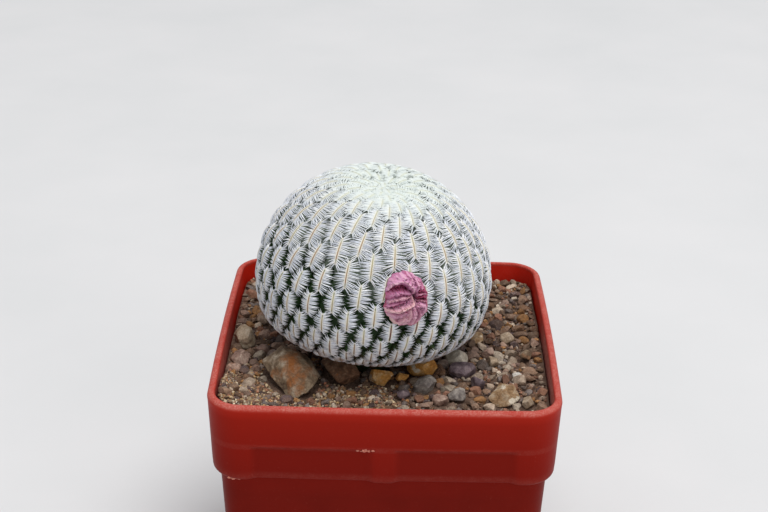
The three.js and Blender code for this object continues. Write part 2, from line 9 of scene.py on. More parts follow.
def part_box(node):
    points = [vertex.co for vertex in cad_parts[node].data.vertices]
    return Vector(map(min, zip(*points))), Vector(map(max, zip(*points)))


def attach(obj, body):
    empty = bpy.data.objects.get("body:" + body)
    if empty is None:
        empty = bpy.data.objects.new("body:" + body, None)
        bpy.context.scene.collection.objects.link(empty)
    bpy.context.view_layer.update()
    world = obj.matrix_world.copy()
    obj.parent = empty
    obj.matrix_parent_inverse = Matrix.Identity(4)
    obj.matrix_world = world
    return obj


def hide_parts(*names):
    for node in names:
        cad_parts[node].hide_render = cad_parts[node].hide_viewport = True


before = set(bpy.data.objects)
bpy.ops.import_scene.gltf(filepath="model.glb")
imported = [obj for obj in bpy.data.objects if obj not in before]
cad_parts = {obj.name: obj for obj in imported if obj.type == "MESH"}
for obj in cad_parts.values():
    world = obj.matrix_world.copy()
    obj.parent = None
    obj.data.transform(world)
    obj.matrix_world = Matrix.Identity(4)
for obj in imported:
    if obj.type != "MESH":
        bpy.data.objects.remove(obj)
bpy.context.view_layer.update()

# Lengths are in millimetres until mesh_object turns them into metres. +Z is up, -Y is the front.
MM = 0.001

# Driving dimensions of the pot, most of them as in the solids
POT_HEIGHT = 60
RIM_HALF = 32.5
COLLAR_HEIGHT = 16
COLLAR_BOTTOM_HALF = 31.85
BODY_TOP_HALF = 30.45
BASE_HALF = 28.1
CORNER_RADIUS = 6.6
SIDE_BOW = 0.3
BODY_WALL = 1.5
COLLAR_WALL = 1.45
FLOOR_THICKNESS = 2
BASE_ROUNDING = 0.5
LIP_ROUNDING = 0.9
INNER_ROUNDING = 0.4
COLLAR_ROUNDING = 1.2
PANEL_DEPTH = 0.35
PANEL_INNER_X = 2.3
PANEL_OUTER_X = 24
PANEL_HEIGHT = 7.6
PANEL_SIDE_EDGE = 0.9
PANEL_TOP_EDGE = 0.25
HANG_EDGE = 1.1
RIB_HANG = 0.5
DRAIN_HOLE_DIAMETER = 5
DRAIN_HOLE_OFFSET = 17
COLLAR_BOTTOM = POT_HEIGHT - COLLAR_HEIGHT
STRAIGHT = RIM_HALF - CORNER_RADIUS
INNER_STEP = (COLLAR_BOTTOM + 0.4, COLLAR_BOTTOM + 2.4)

# Dust on the inner wall is wear of more than 1, and reaches down to this height.
INNER_DUST = 1.7
DUST_BOTTOM = 52

# Driving dimensions of the soil
FIT_GAP = 0.32
SOIL_LEVEL = 55.4
HEAP_HEIGHT = 3
HIGHEST_SOIL = 59.1
STEM_FOOT_Z = 53.2
HOLE_FLOOR_RADIUS = 8.6
HOLE_RIM_RADIUS = 10.4

# The loose grains: half width of the field that they are drawn on, most grains of sand, how deep facets cut
# into a ball of radius 1, and how much wider, narrower and flatter than the ball a grain is
GRAIN_FIELD = 31
MOST_SAND = 9500
FACET_DEPTHS = (0.5, 0.86)
GRAIN_SQUASH = ((0.9, 1.35), (0.75, 1.05), (0.6, 0.9))

# Driving dimensions of the plant, most of them as in the solids
PLANT_CENTRE = np.array((-2.73, 0, 71.44))
PLANT_RADIUS = 22.95
PLANT_HALF_HEIGHT = 21.5
CROWN_DIMPLE = 1.3
CROWN_DIMPLE_WIDTH = 0.35
GROOVE_LEVEL = -2.1
UNDERCUT = 5
UNDERCUT_RANGE = (104, 140)
NECK_RANGE = (147, 157)
UNDERSIDE_TILT = math.radians(4)
CROWN_TILT_FRONT = math.radians(8.7)
CROWN_TILT_RIGHT = math.radians(5.7)
FLANK_TILT_RIGHT = math.radians(7.6)
CROWN_EXTENT = math.radians(32)
DIVERGENCE = math.radians(137.546)
FIRST_AZIMUTH = math.radians(50.2)
CROWN_COUNT = 52
FLANK_COUNT = 256
COMB_COUNT = 400
UPPER_COMBS = 190
CROWN_POLAR = 30.3
CROWN_POWER = 0.7
FLANK_MIDDLE = 149
FLANK_POLAR = (74.1, 42, -10, -4.7, 2.3)
FOOT_POLAR = 105
FOOT_STEP = 0.16
FULL_CELL = 4.3

# Spines: the fewest and the most pairs on a comb, and the radius of a spine on a comb of full size
FEWEST_PAIRS = 10
MOST_PAIRS = 24
SPINE_RADIUS = 0.096

# How far down from the top the combs lie close and pale, in degrees: at the middle, how much less far on the
# left, and how much further on the right
DENSE_POLAR = 59
DENSE_LESS_LEFT = 18
DENSE_MORE_RIGHT = 8

# Driving dimensions of the flower
FLOWER_AZIMUTH = math.radians(14)
FLOWER_POLAR = math.radians(73.6)
UNDER_FLOWER = 2.6


def smoothstep(x, low, high):
    t = np.clip((np.asarray(x, float) - low) / (high - low), 0, 1)
    return t * t * (3 - 2 * t)


def lerp(a, b, t):
    return a + (b - a) * t


def unit(vectors):
    return vectors / np.linalg.norm(vectors, axis=-1, keepdims=True)


def draw(seed):
    """A repeatable draw from 0 to 1 for a number, the same as in the solids."""
    x = math.sin(seed * 127.1 + 11.7) * 43758.5453
    return x - math.floor(x)


def link(name, data):
    piece = bpy.data.objects.new(name, data)
    bpy.context.scene.collection.objects.link(piece)
    return piece


def smooth_shade(mesh, sharp_degrees):
    """Smooth shading, with a crisp edge wherever two faces meet at more than the angle."""
    mesh.polygons.foreach_set("use_smooth", [True] * len(mesh.polygons))
    if sharp_degrees is not None:
        mesh.set_sharp_from_angle(angle=math.radians(sharp_degrees))
    mesh.update()


def mesh_object(name, points, faces, material, layers=None, sharp_degrees=None):
    """A mesh in the row frame from points in millimetres; layers are one number for each point."""
    mesh = bpy.data.meshes.new(name)
    mesh.from_pydata((np.asarray(points, float) * MM).tolist(), [], [list(map(int, face)) for face in faces])
    for key, values in (layers or {}).items():
        layer = mesh.attributes.new(key, "FLOAT", "POINT")
        layer.data.foreach_set("value", np.asarray(values, np.float32))
    mesh.materials.append(material)
    smooth_shade(mesh, sharp_degrees)
    return link(name, mesh)


def finish_piece(piece, slot, *nodes):
    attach(piece, "root")
    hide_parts(*nodes)


class Batch:
    """Points, faces and layers gathered from many small forms into one mesh."""

    def __init__(self, *layer_names):
        self.points = []
        self.faces = []
        self.layers = {name: [] for name in layer_names}
        self.count = 0

    def add(self, points, *face_lists, **layers):
        points = np.asarray(points, float).reshape(-1, 3)
        self.points.append(points)
        for faces in face_lists:
            self.faces.extend((np.asarray(faces) + self.count).tolist())
        for name, values in layers.items():
            self.layers[name].append(np.broadcast_to(np.asarray(values, float), (len(points),)))
        self.count += len(points)

    def build(self, name, material, **options):
        layers = {key: np.concatenate(values) for key, values in self.layers.items()}
        return mesh_object(name, np.concatenate(self.points), self.faces, material, layers, **options)


def grid_faces(rows, columns, closed=False):
    """Quads of a grid of points; a closed grid joins its last column to its first."""
    i, j = np.meshgrid(np.arange(rows - 1), np.arange(columns if closed else columns - 1), indexing="ij")
    k = (j + 1) % columns
    quads = np.stack([i * columns + j, i * columns + k, (i + 1) * columns + k, (i + 1) * columns + j], -1)
    return quads.reshape(-1, 4)


def capped(rows, columns):
    """Quads of a closed grid, and triangles from its first and last row to the two points that follow it."""
    base, last = rows * columns, (rows - 1) * columns
    triangles = []
    for j in range(columns):
        k = (j + 1) % columns
        triangles += [[base, k, j], [base + 1, last + j, last + k]]
    return grid_faces(rows, columns, closed=True).tolist(), triangles


def icosphere(level):
    ball = bmesh.new()
    bmesh.ops.create_icosphere(ball, subdivisions=level, radius=1)
    points = np.array([v.co[:] for v in ball.verts])
    faces = np.array([[v.index for v in f.verts] for f in ball.faces])
    ball.free()
    return points, faces


# Materials


def tone(colour):
    """A colour from its 0 to 255 screen values, in the linear values that shaders use."""
    shares = [value / 255 for value in colour]
    return (*(c / 12.92 if c <= 0.04045 else ((c + 0.055) / 1.055) ** 2.4 for c in shares), 1)


class Finish:
    """One node material with a principled shader; sizes of patterns are in millimetres."""

    def __init__(self, name, roughness, specular):
        self.material = bpy.data.materials.new(name)
        self.material.use_nodes = True
        self.nodes = self.material.node_tree.nodes
        self.links = self.material.node_tree.links
        self.shader = self.nodes["Principled BSDF"]
        self.roughness(roughness)
        self.set_input(self.shader.inputs["Specular IOR Level"], specular)
        self.place = self.nodes.new("ShaderNodeTexCoord").outputs["Object"]

    def set_input(self, socket, value):
        """Gives an input a number, a colour in screen values or another node's output."""
        if isinstance(value, bpy.types.NodeSocket):
            self.links.new(value, socket)
        else:
            socket.default_value = tone(value) if isinstance(value, tuple) else value

    def node(self, kind, output, inputs, **settings):
        node = self.nodes.new("ShaderNode" + kind)
        for key, value in settings.items():
            setattr(node, key, value)
        for key, value in inputs.items():
            self.set_input(node.inputs[key], value)
        return node.outputs[output]

    def noise(self, size, detail, roughness=0.55, distortion=0):
        return self.node("TexNoise", "Fac", {
            "Vector": self.place, "Scale": 1 / (size * MM), "Detail": detail, "Roughness": roughness,
            "Distortion": distortion,
        })

    def cells(self, size, feature="F1"):
        inputs = {"Vector": self.place, "Scale": 1 / (size * MM)}
        return self.node("TexVoronoi", "Distance", inputs, feature=feature)

    def layer(self, name):
        return self.node("Attribute", "Fac", {}, attribute_name=name)

    def upright(self):
        """The height in metres."""
        return self.node("SeparateXYZ", "Z", {0: self.place})

    def times(self, a, b):
        return self.node("Math", 0, {0: a, 1: b}, operation="MULTIPLY")

    def between(self, value, low, high, to_low=0, to_high=1):
        return self.node("MapRange", "Result", {
            "Value": value, "From Min": low, "From Max": high, "To Min": to_low, "To Max": to_high,
        })

    def ramp(self, value, stops, steps=False):
        node = self.nodes.new("ShaderNodeValToRGB")
        self.links.new(value, node.inputs["Fac"])
        if steps:
            node.color_ramp.interpolation = "CONSTANT"
        elements = node.color_ramp.elements
        while len(elements) < len(stops):
            elements.new(1)
        for element, (position, colour) in zip(elements, stops):
            element.position = position
            element.color = tone(colour)
        return node.outputs["Color"]

    def colour(self, value):
        self.base = value
        self.set_input(self.shader.inputs["Base Color"], value)

    def tint(self, share, colour, amount=None, blend="MIX"):
        """Lays a colour over the base colour so far, in places given by share, as thick as amount says."""
        if amount is not None:
            share = self.times(share, amount)
        inputs = {"Factor": share, 6: self.base, 7: colour}
        self.colour(self.node("Mix", 2, inputs, data_type="RGBA", blend_type=blend))

    def roughness(self, value):
        self.set_input(self.shader.inputs["Roughness"], value)

    def rough_patches(self, size, low, high, detail=3):
        self.roughness(self.between(self.noise(size, detail), 0.3, 0.7, low, high))

    def bump(self, height, depth):
        """Bump whose height of 1 is depth millimetres; bumps given in turn add up."""
        normal = self.shader.inputs["Normal"]
        inputs = {"Strength": 1, "Distance": depth * MM, "Height": height}
        if normal.links:
            inputs["Normal"] = normal.links[0].from_socket
        self.links.new(self.node("Bump", "Normal", inputs), normal)


def pot_finish():
    f = Finish("pot_plastic", roughness=0.42, specular=0.05)
    upright = f.upright()
    # The red darkens lower down and brightens towards the rim: painted light falling from above.
    f.colour(f.ramp(f.between(upright, (POT_HEIGHT - 20) * MM, (POT_HEIGHT - 1) * MM), [
        (0, (108, 18, 8)), (0.24, (122, 20, 9)), (0.6, (134, 23, 11)), (1, (152, 28, 14)),
    ]))
    f.tint(f.between(f.noise(9, 4), 0.35, 0.7, 0, 0.18), (142, 29, 17))
    # The sunk panels are painted darker: painted shade in the recesses.
    f.tint(f.layer("panel"), (104, 15, 6), 0.4)
    f.tint(f.between(f.noise(0.45, 4), 0.64, 0.74), (196, 110, 96), 0.08)
    # A brighter red band just under the rim is painted light along the top of the pot.
    f.tint(f.between(upright, (POT_HEIGHT - 2.6) * MM, (POT_HEIGHT - 0.6) * MM), (196, 44, 28), 0.35)
    # The inner back wall is painted a brighter red: a painted glow of light in the thin plastic.
    f.tint(f.layer("back"), (206, 34, 16), 0.75)
    edge = f.layer("worn")
    patchy = f.between(f.noise(1.6, 4, 0.7), 0.35, 0.65, 0.45, 1)
    grainy = f.between(f.noise(0.22, 3, 0.7), 0.42, 0.62)
    worn = f.times(f.times(edge, patchy), f.between(grainy, 0, 1, 0.3, 1))
    f.tint(worn, (210, 146, 134), 0.7)
    f.tint(f.layer("flash"), (214, 176, 160))
    f.roughness(f.between(worn, 0, 1, 0.42, 0.65))
    f.bump(f.noise(0.35, 3), 0.012)
    f.bump(f.noise(5, 2), 0.05)
    f.bump(f.times(edge, f.noise(0.25, 3)), 0.05)
    return f.material


SAND_TONES = [
    (172, 152, 124), (138, 112, 90), (200, 182, 150), (156, 116, 84), (112, 88, 80),
    (184, 154, 110), (214, 204, 180), (146, 128, 106), (164, 112, 90), (100, 78, 62),
]
GRAIN_TONES = [
    (118, 98, 84), (158, 134, 122), (96, 82, 84), (182, 166, 150), (138, 114, 98),
    (170, 126, 82), (104, 80, 64), (204, 192, 176), (148, 108, 90), (128, 120, 118),
]


def grain_finish(name, tones, lift):
    """Each grain has one of the tones; lift brightens them all."""
    f = Finish(name, roughness=0.85, specular=0.15)
    stops = [(i / len(tones), colour) for i, colour in enumerate(tones)]
    f.colour(f.ramp(f.layer("tone"), stops, steps=True))
    mottled = f.ramp(f.noise(0.42, 5, 0.75), [(0.32, (112, 100, 92)), (0.68, (255, 248, 240))])
    f.tint(0.8, mottled, blend="MULTIPLY")
    f.tint(f.between(f.noise(0.2, 4, 0.75), 0.57, 0.68), (212, 198, 182), 0.5)
    f.tint(f.between(f.noise(0.3, 4, 0.75, 0.4), 0.38, 0.28), (52, 40, 36), 0.5)
    f.tint(f.between(f.noise(2.6, 4, 0.65), 0.44, 0.6), (118, 90, 66), 0.3)
    shade = f.between(f.layer("shade"), 0, 1, 0.6 * lift, 1.35 * lift)
    f.colour(f.node("VectorMath", 0, {0: f.base, "Scale": shade}, operation="SCALE"))
    f.rough_patches(0.8, 0.7, 0.95)
    f.bump(f.noise(0.18, 5, 0.7), 0.1)
    f.bump(f.noise(0.7, 4), 0.16)
    return f.material


def soil_finish():
    f = Finish("gritty_soil", roughness=0.95, specular=0.15)
    earth = [(0.3, (64, 48, 40)), (0.55, (112, 90, 76)), (0.8, (160, 136, 120))]
    f.colour(f.ramp(f.noise(0.7, 5, 0.7), earth))
    f.tint(0.4, f.ramp(f.noise(6, 3), [(0.35, (70, 50, 40)), (0.65, (120, 98, 84))]))
    f.rough_patches(2, 0.85, 1)
    f.bump(f.noise(0.3, 5, 0.7), 0.25)
    f.bump(f.cells(0.5), 0.2)
    return f.material


def stone_finish(name, dark, middle, light, stain=None, stain_from=0.56, stain_size=2.6, stain_fade=0.06):
    f = Finish(name, roughness=0.8, specular=0.3)
    f.colour(f.ramp(f.noise(1.6, 5, 0.62, 0.3), [(0.3, dark), (0.5, middle), (0.72, light)]))
    if stain:
        f.tint(f.between(f.noise(stain_size, 4, 0.6), stain_from, stain_from + stain_fade), stain)
    grain = f.ramp(f.noise(0.35, 4, 0.7), [(0.3, (150, 142, 136)), (0.7, (255, 252, 248))])
    f.tint(0.6, grain, blend="MULTIPLY")
    f.tint(f.between(f.cells(2.4, "DISTANCE_TO_EDGE"), 0, 0.05, 0.5, 0), dark)
    f.rough_patches(0.9, 0.6, 0.92)
    f.bump(f.noise(0.3, 4, 0.65), 0.08)
    f.bump(f.noise(1.2, 4), 0.2)
    return f.material


def skin_finish():
    f = Finish("cactus_skin", roughness=0.55, specular=0.3)
    # The dark green is partly the skin's own colour and partly painted shade: darkest on the stem and down in
    # the grooves, lighter towards the tubercles' crests.
    f.colour(f.ramp(f.noise(1.1, 4), [(0.3, (26, 48, 22)), (0.7, (52, 80, 38))]))
    f.tint(f.between(f.layer("height"), 0.45, 1, 0, 0.55), (104, 128, 78))
    # Pale at the crown. The same pale under the dense upper combs is painted light, lifting the shade between
    # the combs.
    f.tint(f.layer("crown"), (224, 234, 218))
    f.tint(f.times(f.layer("low"), f.between(f.noise(1.3, 4), 0.38, 0.62)), (86, 60, 42))
    f.rough_patches(0.6, 0.45, 0.7)
    f.bump(f.noise(0.25, 3), 0.03)
    f.bump(f.noise(1, 3), 0.08)
    return f.material


def spine_finish():
    f = Finish("spines", roughness=0.6, specular=0.3)
    # Each spine takes a random tone from bluish white to white: the spread is the spines' own, and the bluish
    # grey of the lower tones is painted shade in a skylight tint.
    f.colour(f.ramp(f.layer("tone"), [(0, (212, 216, 226)), (0.5, (230, 233, 240)), (1, (243, 243, 243))]))
    f.tint(f.between(f.layer("along"), 0, 0.22, 0.5, 0), (238, 230, 208))
    f.tint(f.layer("crown"), (222, 232, 220), 0.6)
    f.tint(f.times(f.layer("low"), f.between(f.noise(1.6, 4), 0.42, 0.66)), (150, 116, 92), 0.7)
    f.rough_patches(0.5, 0.5, 0.72, 2)
    f.bump(f.noise(0.08, 2), 0.006)
    return f.material


def areole_finish():
    f = Finish("areoles", roughness=0.9, specular=0.15)
    f.colour(f.ramp(f.noise(0.5, 4, 0.6), [(0.3, (228, 220, 200)), (0.7, (242, 238, 226))]))
    slit = f.ramp(f.layer("tone"), [
        (0, (176, 170, 136)), (0.4, (166, 138, 112)), (0.75, (136, 98, 84)), (1, (96, 56, 40)),
    ])
    f.tint(f.between(f.layer("slit"), 0.25, 0.75), slit)
    f.tint(f.layer("crown"), (226, 234, 220), 0.75)
    f.tint(f.times(f.layer("low"), f.between(f.noise(0.9, 3), 0.4, 0.6)), (84, 52, 38), 0.8)
    f.rough_patches(0.4, 0.8, 1, 2)
    f.bump(f.noise(0.12, 3, 0.7), 0.05)
    return f.material


def petal_finish():
    f = Finish("petals", roughness=0.75, specular=0.2)
    streak = f.layer("streak")
    f.colour(f.ramp(f.layer("tint"), [
        (0, (136, 50, 78)), (0.2, (176, 82, 116)), (0.42, (194, 126, 162)),
        (0.62, (224, 166, 198)), (0.8, (222, 172, 176)), (1, (222, 200, 182)),
    ]))
    f.tint(f.between(streak, 0.5, 1, 0, 0.4), (136, 82, 122))
    f.tint(f.between(f.layer("edge"), 0.1, 0.9, 0, 0.75), (224, 182, 190))
    # Painted shade: dark in the creases and the throat.
    f.tint(f.between(f.layer("deep"), 0.2, 1, 0, 0.85), (84, 22, 44))
    f.tint(f.between(f.noise(0.8, 4, 0.65), 0.5, 0.68), (164, 84, 96), 0.35)
    # The lower half of the flower, which faces down, is painted paler: painted light lifting its shade.
    low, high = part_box("flower_petals")
    lower = f.between(f.upright(), lerp(low[2], high[2], 0.5), lerp(low[2], high[2], 0.1))
    f.tint(lower, (228, 186, 198), 0.4)
    f.rough_patches(0.5, 0.6, 0.85)
    f.bump(f.noise(0.2, 4, 0.6), 0.06)
    f.bump(streak, 0.06)
    return f.material


def tube_finish():
    f = Finish("flower_tube", roughness=0.8, specular=0.2)
    f.colour(f.ramp(f.noise(0.6, 4), [(0.3, (96, 74, 48)), (0.7, (158, 128, 92))]))
    f.rough_patches(0.4, 0.7, 0.9)
    f.bump(f.noise(0.2, 4), 0.06)
    return f.material


def floor_finish():
    f = Finish("pale_floor", roughness=0.9, specular=0.1)
    f.colour(f.ramp(f.noise(60, 3), [(0.3, (215, 215, 215)), (0.7, (220, 219, 219))]))
    f.bump(f.noise(3, 4), 0.05)
    return f.material


# The pot


def side_places():
    """Places along one side of the pot, closer together at the edges of the sunk panels."""
    places = list(np.linspace(-STRAIGHT, STRAIGHT, 27))
    for edge in (PANEL_INNER_X, PANEL_OUTER_X):
        for step in np.linspace(-1.5, 1.5, 9):
            places += [edge + step, -edge - step]
    return np.array(sorted(set(round(float(p), 4) for p in places)))[1:-1]


SIDE = side_places()
CORNER = np.radians(np.linspace(0, 90, 15))


def rounded_side(half, radius, places, bend):
    """One bowed side of a square and the round corner after it, in plan."""
    straight = half - radius
    flat = np.stack([half + SIDE_BOW * (1 - (places / straight) ** 2), places], -1)
    return np.concatenate([flat, straight + radius * np.stack([np.cos(bend), np.sin(bend)], -1)])


def all_sides(side):
    """The points of one side, turned to all four sides."""
    turned = []
    for c, s in ((1, 0), (0, 1), (-1, 0), (0, -1)):
        x, y = side[:, 0] * c - side[:, 1] * s, side[:, 0] * s + side[:, 1] * c
        turned.append(np.column_stack([x, y, side[:, 2:]]))
    return np.concatenate(turned)


def between_ribs(soft):
    """1 at the places along a side where the sunk panels are, and 0 at its ribs."""
    away = np.abs(SIDE)
    past_rib = smoothstep(away, PANEL_INNER_X - soft, PANEL_INNER_X + soft)
    return past_rib * (1 - smoothstep(away, PANEL_OUTER_X - soft, PANEL_OUTER_X + soft))


def pot_ring(half, z, sunk, lift):
    """One ring of the wall; sunk is the share of the panels' depth there, lift raises it at the panels."""
    plan = rounded_side(half, CORNER_RADIUS + half - RIM_HALF, SIDE, CORNER)
    plan[:len(SIDE), 0] -= PANEL_DEPTH * sunk * between_ribs(PANEL_SIDE_EDGE)
    height = np.full(len(plan), float(z))
    height[:len(SIDE)] += lift * between_ribs(HANG_EDGE)
    return all_sides(np.column_stack([plan, height]))


def body_half(z):
    return lerp(BASE_HALF, BODY_TOP_HALF, z / COLLAR_BOTTOM)


def collar_half(z):
    return lerp(COLLAR_BOTTOM_HALF, RIM_HALF, (z - COLLAR_BOTTOM) / COLLAR_HEIGHT)


def outer_half(z):
    return body_half(z) if z < COLLAR_BOTTOM else collar_half(z)


def inner_half(z):
    step = float(smoothstep(z, *INNER_STEP))
    return lerp(body_half(z) - BODY_WALL, collar_half(z) - COLLAR_WALL, step)


def arc(start, end, count):
    """Even steps along an arc, each as its angle in degrees, its cosine and its sine."""
    for degrees in np.linspace(start, end, count):
        yield degrees, math.cos(math.radians(degrees)), math.sin(math.radians(degrees))


def make_pot():
    rings, worn, panels = [], [], []

    def add(half, z, wear=0, sunk=0, lift=0):
        ring = pot_ring(half, z, sunk, lift)
        rings.append(ring)
        worn.append(wear)
        panels.append(np.linalg.norm(ring - pot_ring(half, z, 0, lift), axis=1) / PANEL_DEPTH)

    # The foot, the body and the step out to the collar
    for _, c, s in arc(-90, 0, 5):
        add(BASE_HALF - BASE_ROUNDING * (1 - c), BASE_ROUNDING * (1 + s), 0.15)
    for z in np.linspace(1.2, COLLAR_BOTTOM - 0.3, 16):
        add(outer_half(z), z)
    add(BODY_TOP_HALF, COLLAR_BOTTOM + 0.1, 0, 0, RIB_HANG)
    # The collar's round lower edge, its panels and the plain band above them
    for degrees, c, s in arc(-85, 0, 9):
        share = float(smoothstep(degrees, -80, 0))
        half, z = COLLAR_BOTTOM_HALF - COLLAR_ROUNDING * (1 - c), COLLAR_BOTTOM + COLLAR_ROUNDING * (1 + s)
        add(half, z, 0.12, share, RIB_HANG * (1 - share * 0.4))
    panel_top = COLLAR_BOTTOM + PANEL_HEIGHT
    for z in np.linspace(COLLAR_BOTTOM + 2.4, panel_top - 0.6, 5):
        add(outer_half(z), z, 0, 1)
    for z in np.linspace(panel_top - 0.4, panel_top + 0.4, 7):
        over = float(smoothstep(z, panel_top - PANEL_TOP_EDGE, panel_top + PANEL_TOP_EDGE))
        add(outer_half(z), z, 0.1, 1 - over)
    for z in np.linspace(panel_top + 0.8, POT_HEIGHT - LIP_ROUNDING - 0.3, 8):
        add(outer_half(z), z)
    # The lip and the inner wall
    for degrees, c, s in arc(0, 90, 13):
        wear = 0.05 + 0.95 * float(smoothstep(degrees, 0, 45))
        add(RIM_HALF - LIP_ROUNDING * (1 - c), POT_HEIGHT - LIP_ROUNDING * (1 - s), wear)
    inner_edge = inner_half(POT_HEIGHT - INNER_ROUNDING)
    for _, c, s in arc(90, 180, 6):
        wear = 0.9 - 0.6 * max(0, -c)
        add(inner_edge + INNER_ROUNDING * (1 + c), POT_HEIGHT - INNER_ROUNDING * (1 - s), wear)
    for z in (59.3, 58.6, 57.5, 56, 55, 52, 48, INNER_STEP[1], INNER_STEP[0], 30, 15, FLOOR_THICKNESS):
        add(inner_half(z), z, INNER_DUST if z > DUST_BOTTOM else 0.1)
    columns = len(rings[0])
    points = np.concatenate([*rings, [[0, 0, 0], [0, 0, FLOOR_THICKNESS]]])
    quads, triangles = capped(len(rings), columns)
    wear = np.append(np.repeat(worn, columns), [0, 0])
    dusty = wear > 1
    # back marks the inner back wall for its painted glow of light, and takes most of the dust off there.
    back = dusty * smoothstep(points[:, 1], -4, 12)
    wear = wear * (1 - 0.95 * back) * (1 - 0.5 * dusty * smoothstep(-points[:, 0], 0, 10))
    # The panel layer marks the sunk panels, where the finish paints shade.
    layers = {"worn": wear, "panel": np.append(np.concatenate(panels), [0, 0]), "back": back}
    pot = mesh_object("pot_shell", points, quads + triangles, pot_finish(), layers)
    drill_holes(pot)
    smooth_shade(pot.data, 38)
    finish_piece(pot, "pot_plastic", "pot")


def drill_holes(pot):
    """Cuts the four drain holes through the pot's floor."""
    cutter = bmesh.new()
    radius = DRAIN_HOLE_DIAMETER / 2 * MM
    for x, y in ((-1, -1), (-1, 1), (1, -1), (1, 1)):
        place = Vector((x * DRAIN_HOLE_OFFSET, y * DRAIN_HOLE_OFFSET, FLOOR_THICKNESS / 2)) * MM
        bmesh.ops.create_cone(cutter, cap_ends=True, segments=40, radius1=radius, radius2=radius,
                              depth=4 * FLOOR_THICKNESS * MM, matrix=Matrix.Translation(place))
    mesh = bpy.data.meshes.new("drain_cutter")
    cutter.to_mesh(mesh)
    cutter.free()
    tool = link("drain_cutter", mesh)
    cut = pot.modifiers.new("drain", "BOOLEAN")
    cut.operation = "DIFFERENCE"
    cut.object = tool
    cut.solver = "EXACT"
    bpy.context.view_layer.update()
    drilled = bpy.data.meshes.new_from_object(pot.evaluated_get(bpy.context.evaluated_depsgraph_get()))
    pot.modifiers.clear()
    whole = pot.data
    pot.data = drilled
    bpy.data.meshes.remove(whole)
    bpy.data.objects.remove(tool)
    bpy.data.meshes.remove(mesh)


# The rough spots where mould flash stands out on the collar's front: middle, half width and number of lumps
FLASH_SPOTS = [((-3.2, -32.32, 51.55), 1.4, 14), ((-27.3, -31.2, 44.35), 1.5, 9)]


def make_flash(rng):
    batch = Batch("worn", "flash")
    ball, faces = icosphere(2)
    for middle, spread, count in FLASH_SPOTS:
        for _ in range(count):
            centre = np.array(middle) + rng.normal(size=3) * (spread * 0.45, 0.06, 0.14)
            size = rng.uniform(0.5, 1, 3) * (0.36, 0.15, 0.2)
            lump = ball * (1 + 0.25 * rng.normal(size=(len(ball), 1))) * size
            batch.add(lump + centre, faces, worn=1, flash=1)
    flash = batch.build("pot_mould_flash", bpy.data.materials["pot_plastic"])
    finish_piece(flash, "pot_plastic", "pot")


# The soil and the stones

# Name, place, half sizes, and in degrees the turn about the upright axis and the lift of one end
STONES = [
    ("stone_brown_long", (-18, -13.6, 57.8), (8.3, 4.9, 3.4), -67, 12),
    ("stone_brown_mid", (-8.6, -12.3, 57.1), (5, 3.2, 2.4), -52, 5),
    ("stone_ochre_front", (7, -10.8, 57.3), (3, 2.4, 2.5), 8, 0),
    ("stone_ochre_left", (-0.9, -14.3, 56.6), (2.5, 2, 1.7), -12, 0),
    ("stone_grey_front", (7.4, -17, 56.5), (2.7, 2.3, 2), 30, 0),
    ("stone_purple_grey", (14.9, -10.9, 56.8), (3, 1.9, 1.9), 15, 0),
    ("stone_pale_grey", (13.7, -6, 56.8), (2.6, 1.9, 1.7), 10, 0),
    ("stone_ochre_right", (22, -20.5, 56.8), (3.2, 2.7, 2.3), 25, 0),
    ("stone_ochre_back", (18.3, 3, 56.1), (1.6, 1.8, 1.4), 50, 0),
    ("stone_beige_left", (-28.1, 0.3, 57), (2.3, 2.8, 2.4), 10, 0),
    ("stone_pink_left", (-28.4, -7.2, 56.2), (1.9, 2.2, 1.7), -15, 0),
]

# The middle of the hole that the plant's neck stands in
HOLE_X = PLANT_CENTRE[0] - math.tan(UNDERSIDE_TILT) * (PLANT_CENTRE[2] - STEM_FOOT_Z)


def from_neck(x, y):
    """How far a place on the soil is from the axis of the plant's neck."""
    return np.hypot(np.asarray(x) - HOLE_X, np.asarray(y) - PLANT_CENTRE[1])


def fineness(x, y):
    """0 on coarse grit, 1 in the fine sand of the front left corner, and high along the front's left half."""
    corner = smoothstep(-np.asarray(x) - y, 30, 44)
    front = 0.85 * smoothstep(-np.asarray(y), 13, 18) * (1 - smoothstep(x, -1, 6))
    return np.maximum(corner, front)


def rough_plane(x, y, scale, seed, roughness=0.8, gaps=2.1, octaves=4):
    """Fractal noise at places in a plane."""
    values = [noise.fractal(Vector((a * scale, b * scale, seed)), roughness, gaps, octaves)
              for a, b in zip(np.ravel(x), np.ravel(y))]
    return np.array(values).reshape(np.shape(x))


def relief(x, y):
    return 0.45 * rough_plane(x, y, 0.22, 3.1) + 0.22 * rough_plane(x, y, 1.1, 8.4, 0.7, 2, 3)


def from_wall(x, y):
    """How far a place on the soil is from the pot's wall."""
    half = inner_half(SOIL_LEVEL) - FIT_GAP
    corner = CORNER_RADIUS - COLLAR_WALL
    qx, qy = np.abs(x) - (half - corner), np.abs(y) - (half - corner)
    outside = np.hypot(np.maximum(qx, 0), np.maximum(qy, 0)) + np.minimum(np.maximum(qx, qy), 0)
    return corner - outside


def soil_height(x, y):
    """Rough ground, heaped in the front left corner, higher along the wall and sunk to the plant's neck."""
    heap = HEAP_HEIGHT * smoothstep(-np.asarray(x) - y, 42, 57)
    rise = (0.7 + 0.35 * heap) * (1 - smoothstep(from_wall(x, y), 0.2, 3.2))
    open_ground = np.minimum(SOIL_LEVEL + 0.15 + heap + rise + relief(x, y), HIGHEST_SOIL)
    bank = np.clip((from_neck(x, y) - HOLE_FLOOR_RADIUS) / (HOLE_RIM_RADIUS - HOLE_FLOOR_RADIUS), 0, 1)
    return lerp(STEM_FOOT_Z - FIT_GAP, open_ground, bank)


